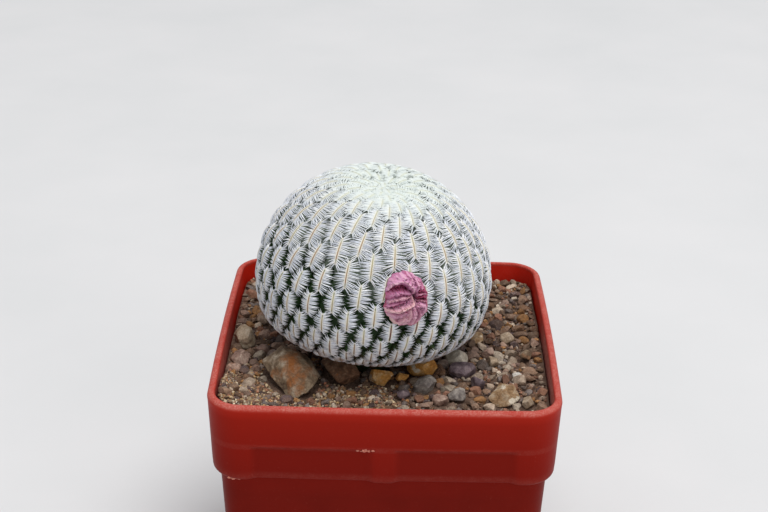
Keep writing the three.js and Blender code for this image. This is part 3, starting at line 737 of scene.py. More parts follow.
def soil_outline(half):
    radius = CORNER_RADIUS - COLLAR_WALL
    places = np.linspace(radius - half, half - radius, 44)[1:-1]
    return all_sides(rounded_side(half, radius, places, np.radians(np.linspace(0, 90, 10))))


def make_soil():
    bottom = FLOOR_THICKNESS + FIT_GAP
    rings = []
    for z in (bottom, 20, *INNER_STEP):
        edge = soil_outline(inner_half(z) - FIT_GAP)
        rings.append(np.column_stack([edge, np.full(len(edge), float(z))]))
    edge = soil_outline(inner_half(SOIL_LEVEL) - FIT_GAP)
    middle = np.array((HOLE_X, PLANT_CENTRE[1]))
    way = unit(edge - middle)
    plans = [lerp(middle + way * HOLE_RIM_RADIUS, edge, share) for share in np.linspace(1, 0, 56)]
    plans += [middle + way * radius for radius in np.linspace(HOLE_RIM_RADIUS - 0.3, HOLE_FLOOR_RADIUS, 6)]
    rings += [np.column_stack([plan, soil_height(plan[:, 0], plan[:, 1])]) for plan in plans]
    points = np.concatenate([*rings, [[0, 0, bottom], [*middle, STEM_FOOT_Z - FIT_GAP]]])
    quads, triangles = capped(len(rings), len(edge))
    soil = mesh_object("soil_bed", points, quads + triangles, soil_finish(), sharp_degrees=50)
    finish_piece(soil, "gritty_soil", "soil")


def clear_of_stones(x, y, radius):
    clear = np.ones(np.shape(x), bool)
    for stone in STONES + SMALL_STONES:
        centre, half, turn = stone[1:4]
        c, s = math.cos(math.radians(turn)), math.sin(math.radians(turn))
        dx, dy = x - centre[0], y - centre[1]
        u, v = dx * c + dy * s, -dx * s + dy * c
        clear &= (u / (half[0] + 0.55 * radius)) ** 2 + (v / (half[1] + 0.55 * radius)) ** 2 > 1
    return clear


def scatter(rng, attempts, radii, spacing, fine_share):
    """Places for grains that fit beside each other, the wall, the stones and the plant."""
    kept = np.empty((0, 3))
    for radius in rng.uniform(*radii, attempts):
        x, y = rng.uniform(-GRAIN_FIELD, GRAIN_FIELD, 2)
        if from_wall(x, y) < 0.8 * radius or not clear_of_stones(x, y, radius):
            continue
        if rng.random() > lerp(1, fine_share, float(fineness(x, y))):
            continue
        if from_neck(x, y) < HOLE_RIM_RADIUS + 0.2 + radius:
            continue
        if len(kept) and np.any(np.hypot(kept[:, 0] - x, kept[:, 1] - y) < spacing * (kept[:, 2] + radius)):
            continue
        kept = np.vstack([kept, (x, y, radius)])
    return kept


def strew(rng, count, radii, wall_share):
    """Places for fine grains that may overlap, and which of them are clear of the wall and the stones."""
    x, y = rng.uniform(-GRAIN_FIELD, GRAIN_FIELD, (2, count))
    radius = rng.uniform(*radii, count)
    return x, y, radius, (from_wall(x, y) > wall_share * radius) & clear_of_stones(x, y, radius)


def turns(rng, count, tilt):
    """Random turns about the upright axis with a small lean, as rotation matrices."""
    yaw = rng.uniform(0, 2 * np.pi, count)
    lean_x, lean_y = rng.normal(0, tilt, (2, count))
    out = np.empty((count, 3, 3))
    for i in range(count):
        spin = Matrix.Rotation(yaw[i], 3, "Z")
        out[i] = np.array(Matrix.Rotation(lean_x[i], 3, "X") @ Matrix.Rotation(lean_y[i], 3, "Y") @ spin)
    return out


def chiselled(rng, count, level, facets, depths=FACET_DEPTHS):
    """Balls cut flat on many sides, like broken stone."""
    ball, faces = icosphere(level)
    points = np.repeat(ball[None], count, 0)
    for _ in range(facets):
        normal = unit(rng.normal(size=(count, 1, 3)))
        depth = rng.uniform(*depths, (count, 1, 1))
        over = np.maximum((points * normal).sum(-1, keepdims=True) - depth, 0)
        points = points - over * normal
    return points / FACET_DEPTHS[1], faces


def make_grains(name, rng, places, level, facets, sink, material, jitter=0):
    """One grain at each place, whose middle lies a share of its radius above the ground, drawn from sink."""
    batch = Batch("tone", "shade")
    count = len(places)
    shapes, faces = chiselled(rng, count, level, facets)
    if jitter:
        shapes = shapes * (1 + jitter * rng.normal(size=(*shapes.shape[:2], 1)))
    squash = np.stack([rng.uniform(low, high, count) for low, high in GRAIN_SQUASH], -1)
    shapes = shapes * squash[:, None, :] * places[:, 2][:, None, None]
    shapes = np.einsum("nij,nmj->nmi", turns(rng, count, 0.3), shapes)
    height = soil_height(places[:, 0], places[:, 1]) + places[:, 2] * rng.uniform(*sink, count)
    centres = np.column_stack([places[:, :2], height])
    tones = rng.random(count)
    shades = rng.random(count)
    for i in range(count):
        batch.add(shapes[i] + centres[i], faces, tone=tones[i], shade=shades[i])
    finish_piece(batch.build(name, material, sharp_degrees=32), "gritty_soil", "soil")


def make_gravel():
    """Loose grains on the soil, from the coarsest to the sand in the front left corner."""
    rng = np.random.default_rng(7)
    grains = grain_finish("gravel", GRAIN_TONES, 1.2)
    big = scatter(rng, 2600, (0.8, 1.5), 0.84, 0.06)
    middle = scatter(rng, 7000, (0.4, 0.8), 0.76, 0.3)
    far = np.ones(len(middle), bool)
    for x, y, radius in big:
        far &= np.hypot(middle[:, 0] - x, middle[:, 1] - y) > 0.75 * radius + 0.35 * middle[:, 2]
    make_grains("gravel_coarse", rng, big, 3, 16, (0.1, 0.5), grains)
    make_grains("gravel_middle", rng, middle[far], 2, 10, (0.15, 0.6), grains, 0.03)
    x, y, radius, keep = strew(rng, 7200, (0.14, 0.38), 1)
    keep &= from_neck(x, y) > HOLE_RIM_RADIUS + 0.1
    for bx, by, big_radius in big:
        keep &= np.hypot(x - bx, y - by) > 0.8 * big_radius
    make_grains("grit_fine", rng, np.column_stack([x, y, radius])[keep], 1, 3, (0.1, 0.8), grains, 0.06)
    x, y, radius, keep = strew(rng, 34000, (0.12, 0.32), 0.8)
    keep &= rng.random(len(x)) < fineness(x, y)
    sand = np.column_stack([x, y, radius])[keep][:MOST_SAND]
    make_grains("sand_corner", rng, sand, 0, 0, (0.2, 1.2), grain_finish("sand", SAND_TONES, 1.5), 0.12)


# Smaller stones that stand out in the gravel: kind, place, half sizes and turn in degrees
SMALL_STONES = [
    ("ochre", (3.2, -14, 56.6), (1.3, 1.2, 1.2), 20),
    ("pink", (10.4, -22.1, 56.4), (1.7, 1.5, 1.4), -30),
    ("grey", (13.8, -20.4, 56.5), (2.1, 1.5, 1.5), 10),
    ("white", (25.2, -12.3, 56.5), (1, 0.75, 0.8), 5),
    ("beige", (24, 3.6, 56.4), (1.9, 1.6, 1.2), 30),
    ("pink", (20.1, -3.1, 56.4), (1.4, 1.3, 1.2), 60),
    ("beige", (20.9, -6.7, 56.4), (1.2, 1.3, 1.2), 15),
    ("beige", (26.6, -22.4, 56.4), (1.6, 1.3, 1.2), 40),
    ("pink", (-24.4, -3.6, 56.3), (1.5, 1.3, 1.1), 10),
    ("purple", (17.6, -15.4, 56.5), (1.6, 1.3, 1.3), -20),
    ("brown", (27.4, -4.5, 56.8), (1.2, 1.4, 1.1), 0),
    ("purple", (3.4, -19.8, 56.2), (1.5, 1.2, 1), 35),
]

# Dark, middle and light tone of each kind of stone. A stained kind also has the stain's colour, where its
# noise starts, and for some the size of its patches in millimetres and how soft their edges are.
RUST, CREAM = (160, 100, 52), (230, 220, 200)
STONE_TONES = {
    "brown": ((92, 74, 58), (146, 126, 102), (198, 184, 164), RUST, 0.5, 5, 0.16),
    "ochre": ((160, 104, 44), (222, 162, 84), (240, 210, 160), CREAM, 0.58),
    "pale": ((150, 140, 124), (206, 196, 180), (236, 230, 216)),
    "grey": ((84, 76, 74), (140, 132, 126), (186, 178, 168)),
    "purple": ((62, 50, 54), (108, 92, 98), (156, 140, 142)),
    "beige": ((128, 106, 84), (180, 160, 136), (212, 198, 178)),
    "pink": ((110, 84, 74), (160, 132, 118), (200, 178, 162)),
    "white": ((186, 182, 174), (222, 218, 210), (240, 238, 232)),
    "tawny": ((116, 88, 58), (172, 140, 104), (204, 188, 164), CREAM, 0.6),
    # A darker, redder copy of the brown stone's tones for stone_brown_mid: partly its own reddish colour and
    # partly painted shade where it lies in shadow.
    "shaded_russet": ((82, 56, 40), (126, 92, 68), (166, 134, 108), RUST, 0.6),
}

# Stones that look unlike the kind in their name, and for some kinds another kind's name, which is passed on
# to finish_piece
OWN_TONES = {"stone_brown_mid": "shaded_russet", "stone_ochre_right": "tawny", "stone_ochre_back": "tawny"}
SHARED_SLOTS = {"purple": "grey", "pink": "beige"}


def stone_shape(rng, centre, half, turn, lift, level):
    """A broken stone of these half sizes, with worn bumps, turned and lifted into its place."""
    shapes, faces = chiselled(rng, 1, level, 15, (0.6, 0.88))
    points = shapes[0]
    swell = np.ones((len(points), 1))
    for scale, octaves, depth in ((1.6, 5, 0.06), (7, 3, 0.014)):
        rough = [noise.fractal(Vector(p) * scale + Vector(centre), 0.8, 2.1, octaves) for p in points]
        swell += depth * np.array(rough)[:, None]
    points = points * swell
    points = points / np.abs(points).max(axis=0) * 0.99 * np.array(half)
    tilted = Matrix.Rotation(math.radians(turn), 3, "Z") @ Matrix.Rotation(math.radians(lift), 3, "Y")
    return points @ np.array(tilted).T + centre, faces


def make_stones():
    """The large stones, and the small ones that lie in the gravel."""
    finishes = {kind: stone_finish(kind + "_stone", *tones) for kind, tones in STONE_TONES.items()}
    rng = np.random.default_rng(21)
    for name, centre, half, turn, lift in STONES:
        kind = name.split("_")[1]
        points, faces = stone_shape(rng, centre, half, turn, lift, 5)
        finish = finishes[OWN_TONES.get(name, kind)]
        pebble = mesh_object(name.replace("stone_", "pebble_"), points, faces, finish)
        finish_piece(pebble, SHARED_SLOTS.get(kind, kind) + "_stone", name)
    for index, (kind, centre, half, turn) in enumerate(SMALL_STONES):
        points, faces = stone_shape(rng, centre, half, turn, 0, 4)
        small = mesh_object(f"small_stone_{index + 1}", points, faces, finishes[kind])
        finish_piece(small, "gritty_soil", "soil")


# The plant


def lean(front, right):
    """A lean to the front about X, followed by a lean to the right about Y."""
    cf, sf, cr, sr = math.cos(front), math.sin(front), math.cos(right), math.sin(right)
    about_x = np.array([[1, 0, 0], [0, cf, -sf], [0, sf, cf]])
    about_y = np.array([[cr, 0, sr], [0, 1, 0], [-sr, 0, cr]])
    return about_y @ about_x


CROWN_BACK = lean(CROWN_TILT_FRONT, CROWN_TILT_RIGHT).T
UNDERSIDE_AXIS = lean(0, UNDERSIDE_TILT)[:, 2]


def direction(azimuth, polar):
    """A ray from the plant's centre, in angles about its axis, which leans less to the front on the flank."""
    flank = float(smoothstep(polar, 0, CROWN_EXTENT))
    right = lerp(CROWN_TILT_RIGHT, FLANK_TILT_RIGHT, flank)
    ray = (math.sin(polar) * math.sin(azimuth), -math.sin(polar) * math.cos(azimuth), math.cos(polar))
    return lean(CROWN_TILT_FRONT * (1 - flank), right) @ np.array(ray)


def surface_point(ray, level):
    """The point that lies level above the plant's outline along a ray."""
    local = CROWN_BACK @ ray
    shape = (local[0] ** 2 + local[1] ** 2) / PLANT_RADIUS**2 + local[2] ** 2 / PLANT_HALF_HEIGHT**2
    from_pole = math.acos(max(-1, min(1, local[2])))
    dimple = CROWN_DIMPLE * math.exp(-((from_pole / CROWN_DIMPLE_WIDTH) ** 2))
    below = math.degrees(math.acos(max(-1, min(1, float(ray @ UNDERSIDE_AXIS)))))
    drawn_in = UNDERCUT * float(smoothstep(below, *UNDERCUT_RANGE) - smoothstep(below, *NECK_RANGE))
    return PLANT_CENTRE + ray * (1 / math.sqrt(shape) + level - dimple - drawn_in)


def polar_of(n):
    """The angle of comb n from the plant's top, by one rule each for the crown, the flank and the foot."""
    if n <= CROWN_COUNT:
        return math.radians(CROWN_POLAR * (n / CROWN_COUNT) ** CROWN_POWER)
    if n > FLANK_COUNT:
        return math.radians(FOOT_POLAR + FOOT_STEP * (n - FLANK_COUNT))
    t = (n - FLANK_MIDDLE) / 100
    return math.radians(sum(factor * t**power for power, factor in enumerate(FLANK_POLAR)))


def cell_size(n):
    """How wide a square comb n has to itself, in millimetres."""
    step = (polar_of(n + 0.5) - polar_of(n - 0.5)) * PLANT_RADIUS
    return math.sqrt(2 * math.pi * math.sin(polar_of(n)) * PLANT_RADIUS * step)


def flower_frame():
    """The flower's outward axis, its up and right, and its middle on the plant."""
    axis = direction(FLOWER_AZIMUTH, FLOWER_POLAR)
    up = unit(np.array((0, 0, 1)) - axis * axis[2])
    side = np.cross(up, axis)
    return axis, up, side, surface_point(axis, 0)


class Comb:
    """The place and size of tubercle n, and the layers that all its parts share."""

    def __init__(self, n):
        self.n = n
        self.size = cell_size(n)
        polar = polar_of(n)
        azimuth = FIRST_AZIMUTH + n * DIVERGENCE
        ray = direction(azimuth, polar)
        down = direction(azimuth, polar + 0.02) - ray
        side = 0.02 * unit(np.cross(down, ray))
        self.origin = surface_point(ray, 0)
        slope_down = surface_point(unit(ray + down), 0) - surface_point(unit(ray - down), 0)
        slope_side = surface_point(unit(ray + side), 0) - surface_point(unit(ray - side), 0)
        self.out = unit(np.cross(slope_side, slope_down))
        if self.out @ ray < 0:
            self.out = -self.out
        along = unit(down - self.out * (down @ self.out))
        twist = (draw(n) - 0.5) * 0.2
        c, s = math.cos(twist), math.sin(twist)
        self.along = along * c + np.cross(self.out, along) * s
        self.across = np.cross(self.along, self.out)
        self.crown = float(1 - smoothstep(math.degrees(polar), 12, 54))
        self.low = float(smoothstep(math.degrees(polar), 92, 118))
        self.under_flower = 0
        to_side = (DENSE_LESS_LEFT if ray[0] < 0 else DENSE_MORE_RIGHT) * float(ray[0])
        sparse_from = DENSE_POLAR + to_side + 10 * (draw(n + 0.7) - 0.5)
        self.upper = float(1 - smoothstep(math.degrees(polar), sparse_from, sparse_from + 24))
        self.half_length = self.size * lerp(0.47, 0.56, self.upper)

    def place(self, across, along, level):
        """Points at these places on the comb, which bends with the plant's surface."""
        sag = (across**2 + along**2) / (2 * PLANT_RADIUS)
        return (self.origin + np.multiply.outer(across, self.across) + np.multiply.outer(along, self.along)
                + np.multiply.outer(level - sag, self.out))


def groove_level(size):
    """How deep the grooves between tubercles of this size are, as a level below the outline."""
    return GROOVE_LEVEL * min(1, (size / 4) ** 1.5)


def make_stem(material):
    """The stem under the tubercles, clipped at its foot in the soil."""
    numbers = range(1, COMB_COUNT + 1)
    sizes = [cell_size(n) for n in numbers]
    polars = [polar_of(n) for n in numbers]
    rows, columns = 90, 128
    lowest = STEM_FOOT_Z + 0.02
    points = []
    for i in range(rows):
        polar = math.pi * (i + 0.5) / rows
        level = groove_level(np.interp(polar, polars, sizes)) - 0.15
        for j in range(columns):
            p = surface_point(direction(2 * math.pi * j / columns, polar), level)
            p[2] = max(p[2], lowest)
            points.append(p)
    points.append(surface_point(direction(0, 0), groove_level(sizes[0]) - 0.15))
    points.append((*PLANT_CENTRE[:2], lowest))
    points = np.array(points)
    quads, triangles = capped(rows, columns)
    faces = [face[::-1] for face in quads + triangles]
    way = unit(points - PLANT_CENTRE)
    polar = np.degrees(np.arccos(np.clip(way[:, 2], -1, 1)))
    # Under the dense upper combs the skin is painted pale: painted light that lifts the shade between the
    # combs.
    dense = 1 - smoothstep(polar - 16 * way[:, 0], 58, 82)
    layers = {
        "height": np.zeros(len(points)),
        "crown": np.maximum(1 - smoothstep(polar, 12, 54), 0.45 * dense),
        "low": smoothstep(polar, 98, 124),
    }
    finish_piece(mesh_object("stem", points, faces, material, layers), "cactus_skin", "cactus_head")


def oval(half_width, half_length, segments, round_x, round_y):
    """Ovals of these half widths and lengths; a rounding of 1 is an ellipse and less is squarer."""
    angle = np.linspace(0, 2 * np.pi, segments, endpoint=False)
    c, s = np.cos(angle), np.sin(angle)
    across = np.outer(half_width, np.sign(c) * np.abs(c) ** round_x)
    return across.ravel(), np.outer(half_length, np.sign(s) * np.abs(s) ** round_y).ravel()


def make_tubercles(combs, hidden, material):
    """Axe-shaped tubercles, long and narrow at their crests; those under the flower are lower."""
    batch = Batch("height", "crown", "low")
    segments = 14
    shares = np.array([0, 0.25, 0.5, 0.72, 0.88, 0.97, 1])
    shrink = np.array([1, 1, 1, 1, 0.96, 0.8, 0.45])
    faces = capped(len(shares), segments)
    height = np.append(np.repeat(shares, segments), [0, 1])
    for comb in combs:
        size = comb.size
        floor = groove_level(size) - 0.35
        crest = (-1.2 if comb.n in hidden else -0.06) * size / 4
        half_length = lerp(0.56 * size, 0.96 * comb.half_length, shares) * shrink
        half_width = size * lerp(0.3, 0.085, shares**0.7) * (0.55 + 0.45 * shrink)
        across, along = oval(half_width, half_length, segments, 0.9, 0.8)
        level = np.append(np.repeat(lerp(floor, crest, shares), segments), [floor, crest + 0.01])
        points = comb.place(np.append(across, [0, 0]), np.append(along, [0, 0]), level)
        # Tubercles under the dense upper combs are painted half pale: painted light that lifts the shade
        # between the combs.
        batch.add(points, *faces, height=height, crown=max(comb.crown, 0.5 * comb.upper), low=comb.low)
    finish_piece(batch.build("tubercles", material), "cactus_skin", "cactus_head")


def make_areoles(combs, material):
    """The felted strip on each crest, with pale raised edges and a brown slit between them."""
    batch = Batch("slit", "tone", "crown", "low")
    across_places = np.array([-0.32, -0.28, -0.19, -0.085, 0, 0.085, 0.19, 0.28, 0.32])
    heights = np.array([-0.22, 0.02, 0.11, 0.05, 0, 0.05, 0.11, 0.02, -0.22])
    slit = np.array([0, 0, 0, 0.7, 1, 0.7, 0, 0, 0])
    stations = np.linspace(-1, 1, 10)
    taper = np.sqrt(np.clip(1 - np.abs(stations) ** 5, 0.02, 1))
    columns = len(across_places)
    faces = grid_faces(len(stations), columns)
    slit_layer = np.outer(smoothstep(taper, 0.3, 0.7), slit).ravel()
    for comb in combs:
        scale = 0.45 + 0.55 * comb.size / FULL_CELL
        across = np.outer(taper, across_places) * scale * (1 + 0.8 * comb.under_flower)
        along = np.repeat(stations * comb.half_length * 0.98, columns)
        arch = -0.3 * stations[:, None] ** 2 * comb.size / FULL_CELL
        level = heights * scale * (0.35 + 0.65 * taper[:, None]) + arch
        shade = draw(comb.n + 0.3) * lerp(0.6, 0.35, comb.upper) + 0.4 * comb.low + comb.under_flower
        drift = np.repeat(np.clip(shade + 0.25 * stations, 0, 1), columns)
        batch.add(comb.place(across.ravel(), along, level.ravel()), faces,
                  slit=slit_layer, tone=drift, crown=comb.crown, low=comb.low)
    finish_piece(batch.build("areoles", material), "areoles", "cactus_head")


def make_spines(name, combs, material):
    """White spines that lie flat to both sides of each areole like the teeth of a comb."""
    batch = Batch("along", "tone", "crown", "low")
    stations = np.array([0, 0.35, 0.72, 1])
    thickness = np.array([1.2, 1.1, 0.7])[:, None]
    rng = np.random.default_rng(len(combs))
    sides = 3
    turn = 2 * np.pi * np.arange(sides) / sides
    quads = grid_faces(3, sides, closed=True)
    tips = np.array([[2 * sides + j, 2 * sides + (j + 1) % sides, 3 * sides] for j in range(sides)])
    share = np.append(np.repeat(stations[:3], sides), 1)
    for comb in combs:
        size, relative = comb.size, comb.size / FULL_CELL
        pairs = int(np.clip(round(9 + 3.5 * size), FEWEST_PAIRS, MOST_PAIRS))
        crest_half = comb.half_length * 0.95
        reach = size * lerp(lerp(0.41, 0.46, comb.low), 0.53, comb.upper) * (1 + 0.2 * comb.crown)
        thick = SPINE_RADIUS * (0.6 + 0.4 * relative) * (1 + 0.5 * comb.crown) * thickness
        edge = 0.16 * (0.45 + 0.55 * relative)
        end_fan = math.radians(lerp(50, 62, comb.upper))
        shorten = lerp(0.42, 0.26, comb.upper)
        for hand in (-1, 1):
            for k in range(pairs):
                s = -1 + 2 * (k + 0.5) / pairs + rng.normal(0, 0.015)
                fan = math.copysign(abs(s) ** 2.4, s) * end_fan + rng.normal(0, 0.06)
                length = reach * (1 - shorten * abs(s) ** 3) * (1 + rng.normal(0, 0.12))
                lift = rng.normal(0, 0.05)
                droop = 0.14 * size * (1 - 0.5 * comb.crown) * (1 + rng.normal(0, 0.15))
                run = stations * length
                across = hand * (edge * (1 - 0.5 * abs(s) ** 4) + run * math.cos(fan))
                along = s * crest_half + run * math.sin(fan)
                level = 0.03 + lift * stations + 0.1 * np.sin(np.pi * stations * 0.8) - droop * stations**2
                level = level - 0.27 * s * s * relative
                ring_across = across[:3, None] - thick * math.sin(fan) * np.cos(turn)
                ring_along = along[:3, None] + thick * hand * math.cos(fan) * np.cos(turn)
                ring_level = level[:3, None] + thick * np.sin(turn)
                points = comb.place(np.append(ring_across, across[3]), np.append(ring_along, along[3]),
                                    np.append(ring_level, level[3]))
                batch.add(points, quads[:, ::hand], tips[:, ::hand], along=share, tone=rng.random(),
                          crown=comb.crown, low=comb.low)
    finish_piece(batch.build(name, material), "spines", "cactus_head")


def make_plant():
    flower_centre = flower_frame()[3]
    combs = [Comb(n) for n in range(1, COMB_COUNT + 1)]
    hidden = {c.n for c in combs if np.linalg.norm(c.origin - flower_centre) < UNDER_FLOWER}
    bearing = [c for c in combs if c.n not in hidden]
    for comb in bearing:
        offset = comb.origin - flower_centre
        if offset[2] < -3 and np.linalg.norm(offset) < 8 and abs(offset[0]) < 4:
            comb.under_flower = 0.6
    skin = skin_finish()
    make_stem(skin)
    make_tubercles(combs, hidden, skin)
    make_areoles(bearing, areole_finish())
    spines = spine_finish()
    make_spines("spines_upper", [c for c in bearing if c.n <= UPPER_COMBS], spines)
    make_spines("spines_lower", [c for c in bearing if c.n > UPPER_COMBS], spines)


# The flower

# The oval outline of the flower: how far it reaches from its middle, every 20 degrees from the right.
FLOWER_REACH = [
    4.05, 4.15, 4.25, 4.5, 4.8, 5, 4.85, 4.35, 3.75, 3.65, 4.3, 4.6, 4.95, 5.2, 5.25, 5.2, 4.85, 4.45,
]

# Crests of the crumpled petals. Each has its places as (right, up, height), how far it spreads to the left
# and to the right of its way, a tint from crimson to beige, and how pale its top edge is.
# The crests low on the flower have paler tints, partly their own colour and partly painted light where the
# flower faces down.
CRESTS = [
    ([(-3.2, 2, 1.6), (-2.7, 2.8, 2.3), (-2.1, 3.3, 2.8), (-1.3, 3.5, 3.1), (-0.5, 3.35, 3.3),
      (0.2, 2.9, 3.4), (0.75, 2.3, 3.3), (1.1, 1.6, 3.1), (1.25, 1, 2.6)], 0.95, 0.42, 0.6, 0.75),
    ([(-3.4, 3.2, 1.5), (-2.9, 3.5, 2.4), (-2.3, 3.7, 2.8)], 0.5, 0.45, 0.56, 0.4),
    ([(-2.2, 4.5, 1.6), (-1.8, 4.2, 2.6), (-1.3, 3.9, 3)], 0.5, 0.45, 0.62, 0.5),
    ([(-0.9, 5, 1.6), (-0.6, 4.4, 2.8), (-0.3, 3.9, 3.2)], 0.5, 0.5, 0.66, 0.6),
    ([(0.45, 4.9, 1.6), (0.55, 4.2, 2.8), (0.75, 3.4, 3.2), (0.95, 2.6, 3.2)], 0.4, 0.4, 0.58, 0.5),
    ([(2.2, 3.9, 1.7), (2.3, 3.2, 2.6), (2.35, 2.4, 2.8)], 0.35, 0.35, 0.5, 0.4),
    ([(3.4, 2.6, 1.7), (3.2, 2.1, 2.3), (2.7, 1.7, 2.6)], 0.35, 0.4, 0.42, 0.5),
    ([(1.9, 0.65, 1.9), (2.8, 0.75, 2.35), (3.8, 0.45, 1.6)], 0.3, 0.3, 0.34, 0.5),
    ([(1.7, -0.45, 1.8), (2.6, -0.5, 2.3), (3.7, -0.9, 1.6)], 0.35, 0.3, 0.3, 0.6),
    ([(1.45, 4.3, 1.7), (1.7, 3.5, 2.5), (1.95, 2.6, 2.9), (2, 1.8, 2.6)], 0.5, 0.55, 0.62, 0.5),
    ([(2.5, 3.3, 1.7), (2.9, 2.5, 2), (3.1, 1.9, 1.8)], 0.7, 0.9, 0.4, 0.2),
    ([(1.8, 1.2, 1.7), (2.6, 1.25, 2.3), (3.4, 1.2, 2.2), (3.9, 0.9, 1.5)], 0.7, 0.5, 0.2, 0.1),
    ([(1.7, 0.1, 1.6), (2.5, 0.15, 2.1), (3.3, 0.1, 2.1), (3.9, -0.3, 1.4)], 0.45, 0.5, 0.1, 0.1),
    ([(1.35, -1, 2.1), (1.9, -1.08, 2.5), (2.6, -1.15, 2.5), (3.2, -1.5, 2.3), (3.5, -2.3, 2),
      (3.35, -3.2, 1.6), (3, -3.9, 1.2)], 0.4, 1.5, 0.56, 0.6),
    ([(2.2, -1.9, 1.9), (2.5, -2.8, 2), (2.45, -3.7, 1.8), (2.1, -4.5, 1.3)], 0.5, 0.5, 0.5, 0.35),
    ([(1.15, -1.5, 2.1), (1.3, -2.5, 2.4), (1.3, -3.5, 2.3), (1.1, -4.5, 1.6), (1, -5, 1.1)], 0.55, 0.5,
     0.68, 0.4),
    ([(0.6, -2.2, 1.9), (0.3, -3.2, 2.3), (-0.1, -4, 2.1), (-0.5, -4.8, 1.3)], 0.9, 0.7, 0.76, 0.4),
    ([(-0.5, -3.6, 1.7), (-1, -4.1, 1.8), (-1.5, -4.6, 1.2)], 0.8, 0.8, 0.8, 0.6),
    ([(1.1, 0.25, 2.5), (1.12, -0.2, 3), (1, -0.75, 3.2), (0.5, -1.25, 3.1), (-0.4, -1.65, 2.9),
      (-1.4, -1.95, 2.7), (-2.3, -2.15, 2.4), (-3.1, -2.05, 2), (-3.9, -1.7, 1.4)], 0.42, 0.62, 0.84, 0.6),
    ([(0.7, 1, 2.2), (-0.2, 1.35, 2.6), (-1.2, 1.45, 2.8), (-2.2, 1.3, 2.6), (-3.1, 0.95, 2)], 0.8, 0.55,
     0.45, 0.3),
    ([(0.4, 0.4, 2.1), (-0.5, 0.45, 2.5), (-1.4, 0.35, 2.6), (-2.4, 0.1, 2.4), (-3.2, -0.2, 1.8)], 0.6, 0.4,
     0.74, 0.3),
    ([(0.3, -0.1, 1.8), (-0.7, -0.35, 2.1), (-1.8, -0.55, 2.2), (-2.8, -0.8, 2), (-3.6, -1.1, 1.5)], 0.5,
     0.4, 0.42, 0.2),
    ([(-0.5, -2.6, 1.7), (-1.5, -2.9, 2), (-2.5, -2.9, 1.9), (-3.3, -2.6, 1.4)], 0.8, 0.4, 0.64, 0.4),
    ([(-3.7, -2.5, 1.1), (-3.2, -3.3, 1.3), (-2.5, -4, 1.4), (-1.7, -4.6, 1.2)], 0.6, 0.7, 0.95, 0.3),
]

# The dark throat that the petals fold into: right and up from the flower's middle
THROAT = (1.3, 0.25)


def along_crest(x, y, places):
    """For places in the flower: distance from a crest's line, side of it, height and share of the way."""
    places = np.array(places, float)
    steps = np.linspace(0, len(places) - 1, 5 * (len(places) - 1) + 1)
    line = np.column_stack([np.interp(steps, np.arange(len(places)), column) for column in places.T])
    for _ in range(4):
        line[1:-1] = (line[:-2] + 2 * line[1:-1] + line[2:]) / 4
    found = np.full((4, *x.shape), np.inf)
    for k, (a, b) in enumerate(zip(line[:-1], line[1:])):
        edge = b[:2] - a[:2]
        t = np.clip(((x - a[0]) * edge[0] + (y - a[1]) * edge[1]) / (edge @ edge), 0, 1)
        dx, dy = x - a[0] - t * edge[0], y - a[1] - t * edge[1]
        away = np.hypot(dx, dy)
        here = [away, edge[0] * dy - edge[1] * dx, a[2] + t * (b[2] - a[2]), (k + t) / (len(line) - 1)]
        found = np.where(away < found[0], here, found)
    return found


def neighbours(values):
    """The sum of the four neighbours of each inner point, on rings that close."""
    return values[:-2] + values[2:] + np.roll(values, 1, 1)[1:-1] + np.roll(values, -1, 1)[1:-1]


def top_and_under(values):
    return np.concatenate([values.ravel(), values[::-1].ravel()])


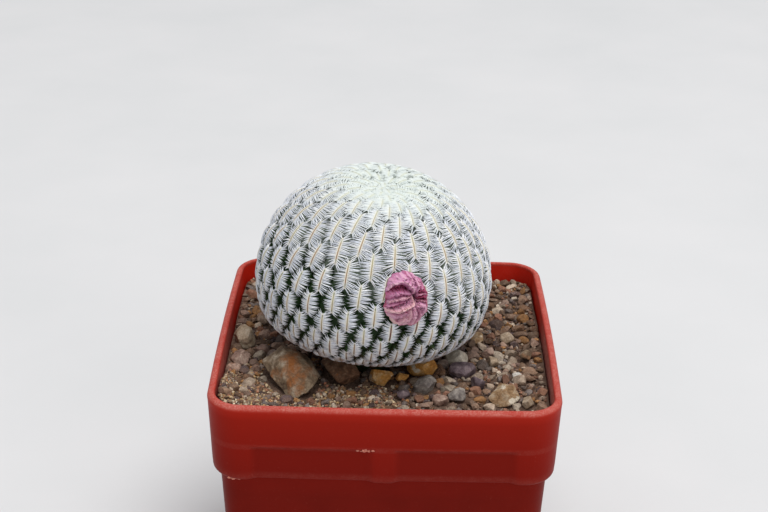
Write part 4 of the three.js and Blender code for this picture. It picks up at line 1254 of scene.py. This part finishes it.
def make_flower():
    """A crumpled rosette: crests fold down into dark creases, over a ruffled rim."""
    rings, columns = 100, 210
    angle = np.linspace(0, 2 * np.pi, columns, endpoint=False)
    reach = np.interp(np.degrees(angle), np.arange(0, 361, 20), FLOWER_REACH + FLOWER_REACH[:1])
    for _ in range(30):
        reach = (np.roll(reach, 1) + 2 * reach + np.roll(reach, -1)) / 4
    ruffle = 0.018 * np.sin(9 * angle + 1) + 0.014 * np.sin(17 * angle) + 0.01 * np.sin(31 * angle + 2)
    reach = reach * (1 + ruffle)
    share = np.linspace(0, 1, rings)[:, None] ** 0.9
    x, y = share * (reach * np.cos(angle)), share * (reach * np.sin(angle))
    warp = rough_plane(x, y, 0.9, 2)
    wx, wy = x + 0.16 * warp, y + 0.16 * rough_plane(x, y, 0.9, 9)
    height = np.repeat(0.9 + 0.5 * (1 - share**3), columns, 1)
    tint, edge, streak = np.full(x.shape, 0.12), np.zeros(x.shape), np.zeros(x.shape)
    for index, (places, left, right, own_tint, pale) in enumerate(CRESTS):
        away, side, top, way = along_crest(wx, wy, places)
        spread = np.where(side > 0, left, right)
        pleats = np.cos(2 * np.pi * (7 * way * len(places) / 5 + 0.3 * index)) * smoothstep(away, 0.05, 0.5)
        fall = (away / spread) ** 1.35
        own = top - 0.85 * fall + 0.09 * pleats
        share_of = smoothstep(own - height, -0.06, 0.06)
        height = np.maximum(height, own)
        # Down each crest's flanks the tint falls towards crimson: painted shade under the ridges.
        tint = lerp(tint, own_tint + 0.05 * pleats - 0.16 * np.clip(fall, 0, 1.6), share_of)
        edge = lerp(edge, pale * (1 - smoothstep(away, 0.02, 0.28)), share_of)
        streak = lerp(streak, 0.5 + 0.5 * pleats, share_of)
    fine = rough_plane(x, y, 2.2, 5)
    crease = 1 - smoothstep(np.abs(rough_plane(wx, wy, 0.6, 12)), 0, 0.16)
    throat = np.exp(-((x - THROAT[0]) / 0.38) ** 2 - ((y - THROAT[1]) / 1.15) ** 2)
    height = height + 0.16 * fine + 0.1 * warp - 0.32 * crease - 1.6 * throat
    rim = share**14
    height = height * (1 - rim) + (0.55 + 0.25 * np.sin(9 * angle) * rim) * rim
    smooth_height = height.copy()
    for _ in range(60):
        smooth_height[1:-1] = neighbours(smooth_height) / 4
    # deep marks the creases and the throat, where the petals are painted with shade.
    deep = np.maximum(smoothstep(smooth_height - height, 0.14, 0.7), throat)
    height = height + 0.45 * (height - smooth_height) * (1 - rim)
    axis, up, side, centre = flower_frame()

    def sheet(level):
        lifted = level - (x**2 + y**2) / (2 * PLANT_RADIUS)
        return centre + sum(np.multiply.outer(v, way) for v, way in ((x, side), (y, up), (lifted, axis)))

    under = sheet(np.minimum(height - 0.25, 0.25 + 0.1 * share))[::-1]
    points = np.concatenate([sheet(height), under]).reshape(-1, 3)
    faces = grid_faces(2 * rings, columns, closed=True)
    layers = {"tint": tint + 0.05 * fine, "edge": edge, "deep": deep, "streak": streak}
    layers = {key: top_and_under(values) for key, values in layers.items()}
    rosette = mesh_object("withered_petals", points, faces, petal_finish(), layers)
    finish_piece(rosette, "petals", "flower_petals")


def make_tube():
    axis, up, side, centre = flower_frame()
    levels = np.linspace(-1.7, 0.25, 12)
    radii = np.interp(levels, [-1.7, -0.7, 0.25], [0.7, 1.1, 1.3])
    radii[0] *= 0.8
    columns = 36
    angle = np.linspace(0, 2 * np.pi, columns, endpoint=False)
    rib = 1 - 0.05 * (0.5 + 0.5 * np.cos(9 * angle))
    section = np.outer(rib * np.cos(angle), side) + np.outer(rib * np.sin(angle), up)
    rings = [centre + radius * section + level * axis for level, radius in zip(levels, radii)]
    points = np.concatenate([*rings, [centre + levels[0] * axis, centre + levels[-1] * axis]])
    quads, triangles = capped(len(levels), columns)
    tube = mesh_object("withered_tube", points, quads + triangles, tube_finish(), sharp_degrees=50)
    finish_piece(tube, "flower_tube", "flower_tube")


# The surroundings

CAMERA_PLACE = (1.352, -264.28, 197.42)
CAMERA_TARGET = (-0.771, 0, 75.568)
CAMERA_ROLL = math.radians(0.985)
CAMERA_LENS = 70.29


def make_camera():
    data = bpy.data.cameras.new("camera")
    data.lens = CAMERA_LENS
    data.sensor_width = 36
    data.clip_start = 0.01
    data.clip_end = 20
    camera = link("camera", data)
    place, target = Vector(CAMERA_PLACE) * MM, Vector(CAMERA_TARGET) * MM
    forward = (target - place).normalized()
    right = forward.cross(Vector((0, 0, 1))).normalized()
    up = right.cross(forward)
    c, s = math.cos(CAMERA_ROLL), math.sin(CAMERA_ROLL)
    turn = Matrix((right * c + up * s, up * c - right * s, -forward)).transposed().to_4x4()
    camera.matrix_world = Matrix.Translation(place) @ turn
    bpy.context.scene.camera = camera


def add_light(name, place, target, size, energy, colour):
    data = bpy.data.lights.new(name, "AREA")
    data.shape = "RECTANGLE"
    data.size = data.size_y = size
    data.energy = energy
    data.color = colour
    light = link(name, data)
    light.location = place
    light.rotation_euler = (Vector(target) - Vector(place)).to_track_quat("-Z", "Y").to_euler()


def make_surroundings():
    steps = np.linspace(-2.5, 2.5, 21) / MM
    x, y = np.meshgrid(steps, steps, indexing="ij")
    points = np.stack([x.ravel(), y.ravel(), np.zeros(x.size)], -1)
    floor = mesh_object("floor", points, grid_faces(21, 21)[:, ::-1], floor_finish())
    middle = (0, 0, 0.05)
    add_light("softbox_above", (0.36, -0.25, 2), middle, 1.4, 32, (1, 1, 1))
    add_light("softbox_front", (0.45, -0.65, 0.38), middle, 0.4, 0.75, (1, 0.99, 0.97))
    world = bpy.data.worlds.new("soft_daylight")
    world.use_nodes = True
    background = world.node_tree.nodes["Background"]
    background.inputs["Color"].default_value = (0.95, 0.97, 1, 1)
    background.inputs["Strength"].default_value = 0.5
    bpy.context.scene.world = world
    bpy.context.scene.view_settings.view_transform = "Standard"


make_camera()
make_surroundings()
make_pot()
make_flash(np.random.default_rng(3))
make_soil()
make_gravel()
make_stones()
make_plant()
make_flower()
make_tube()
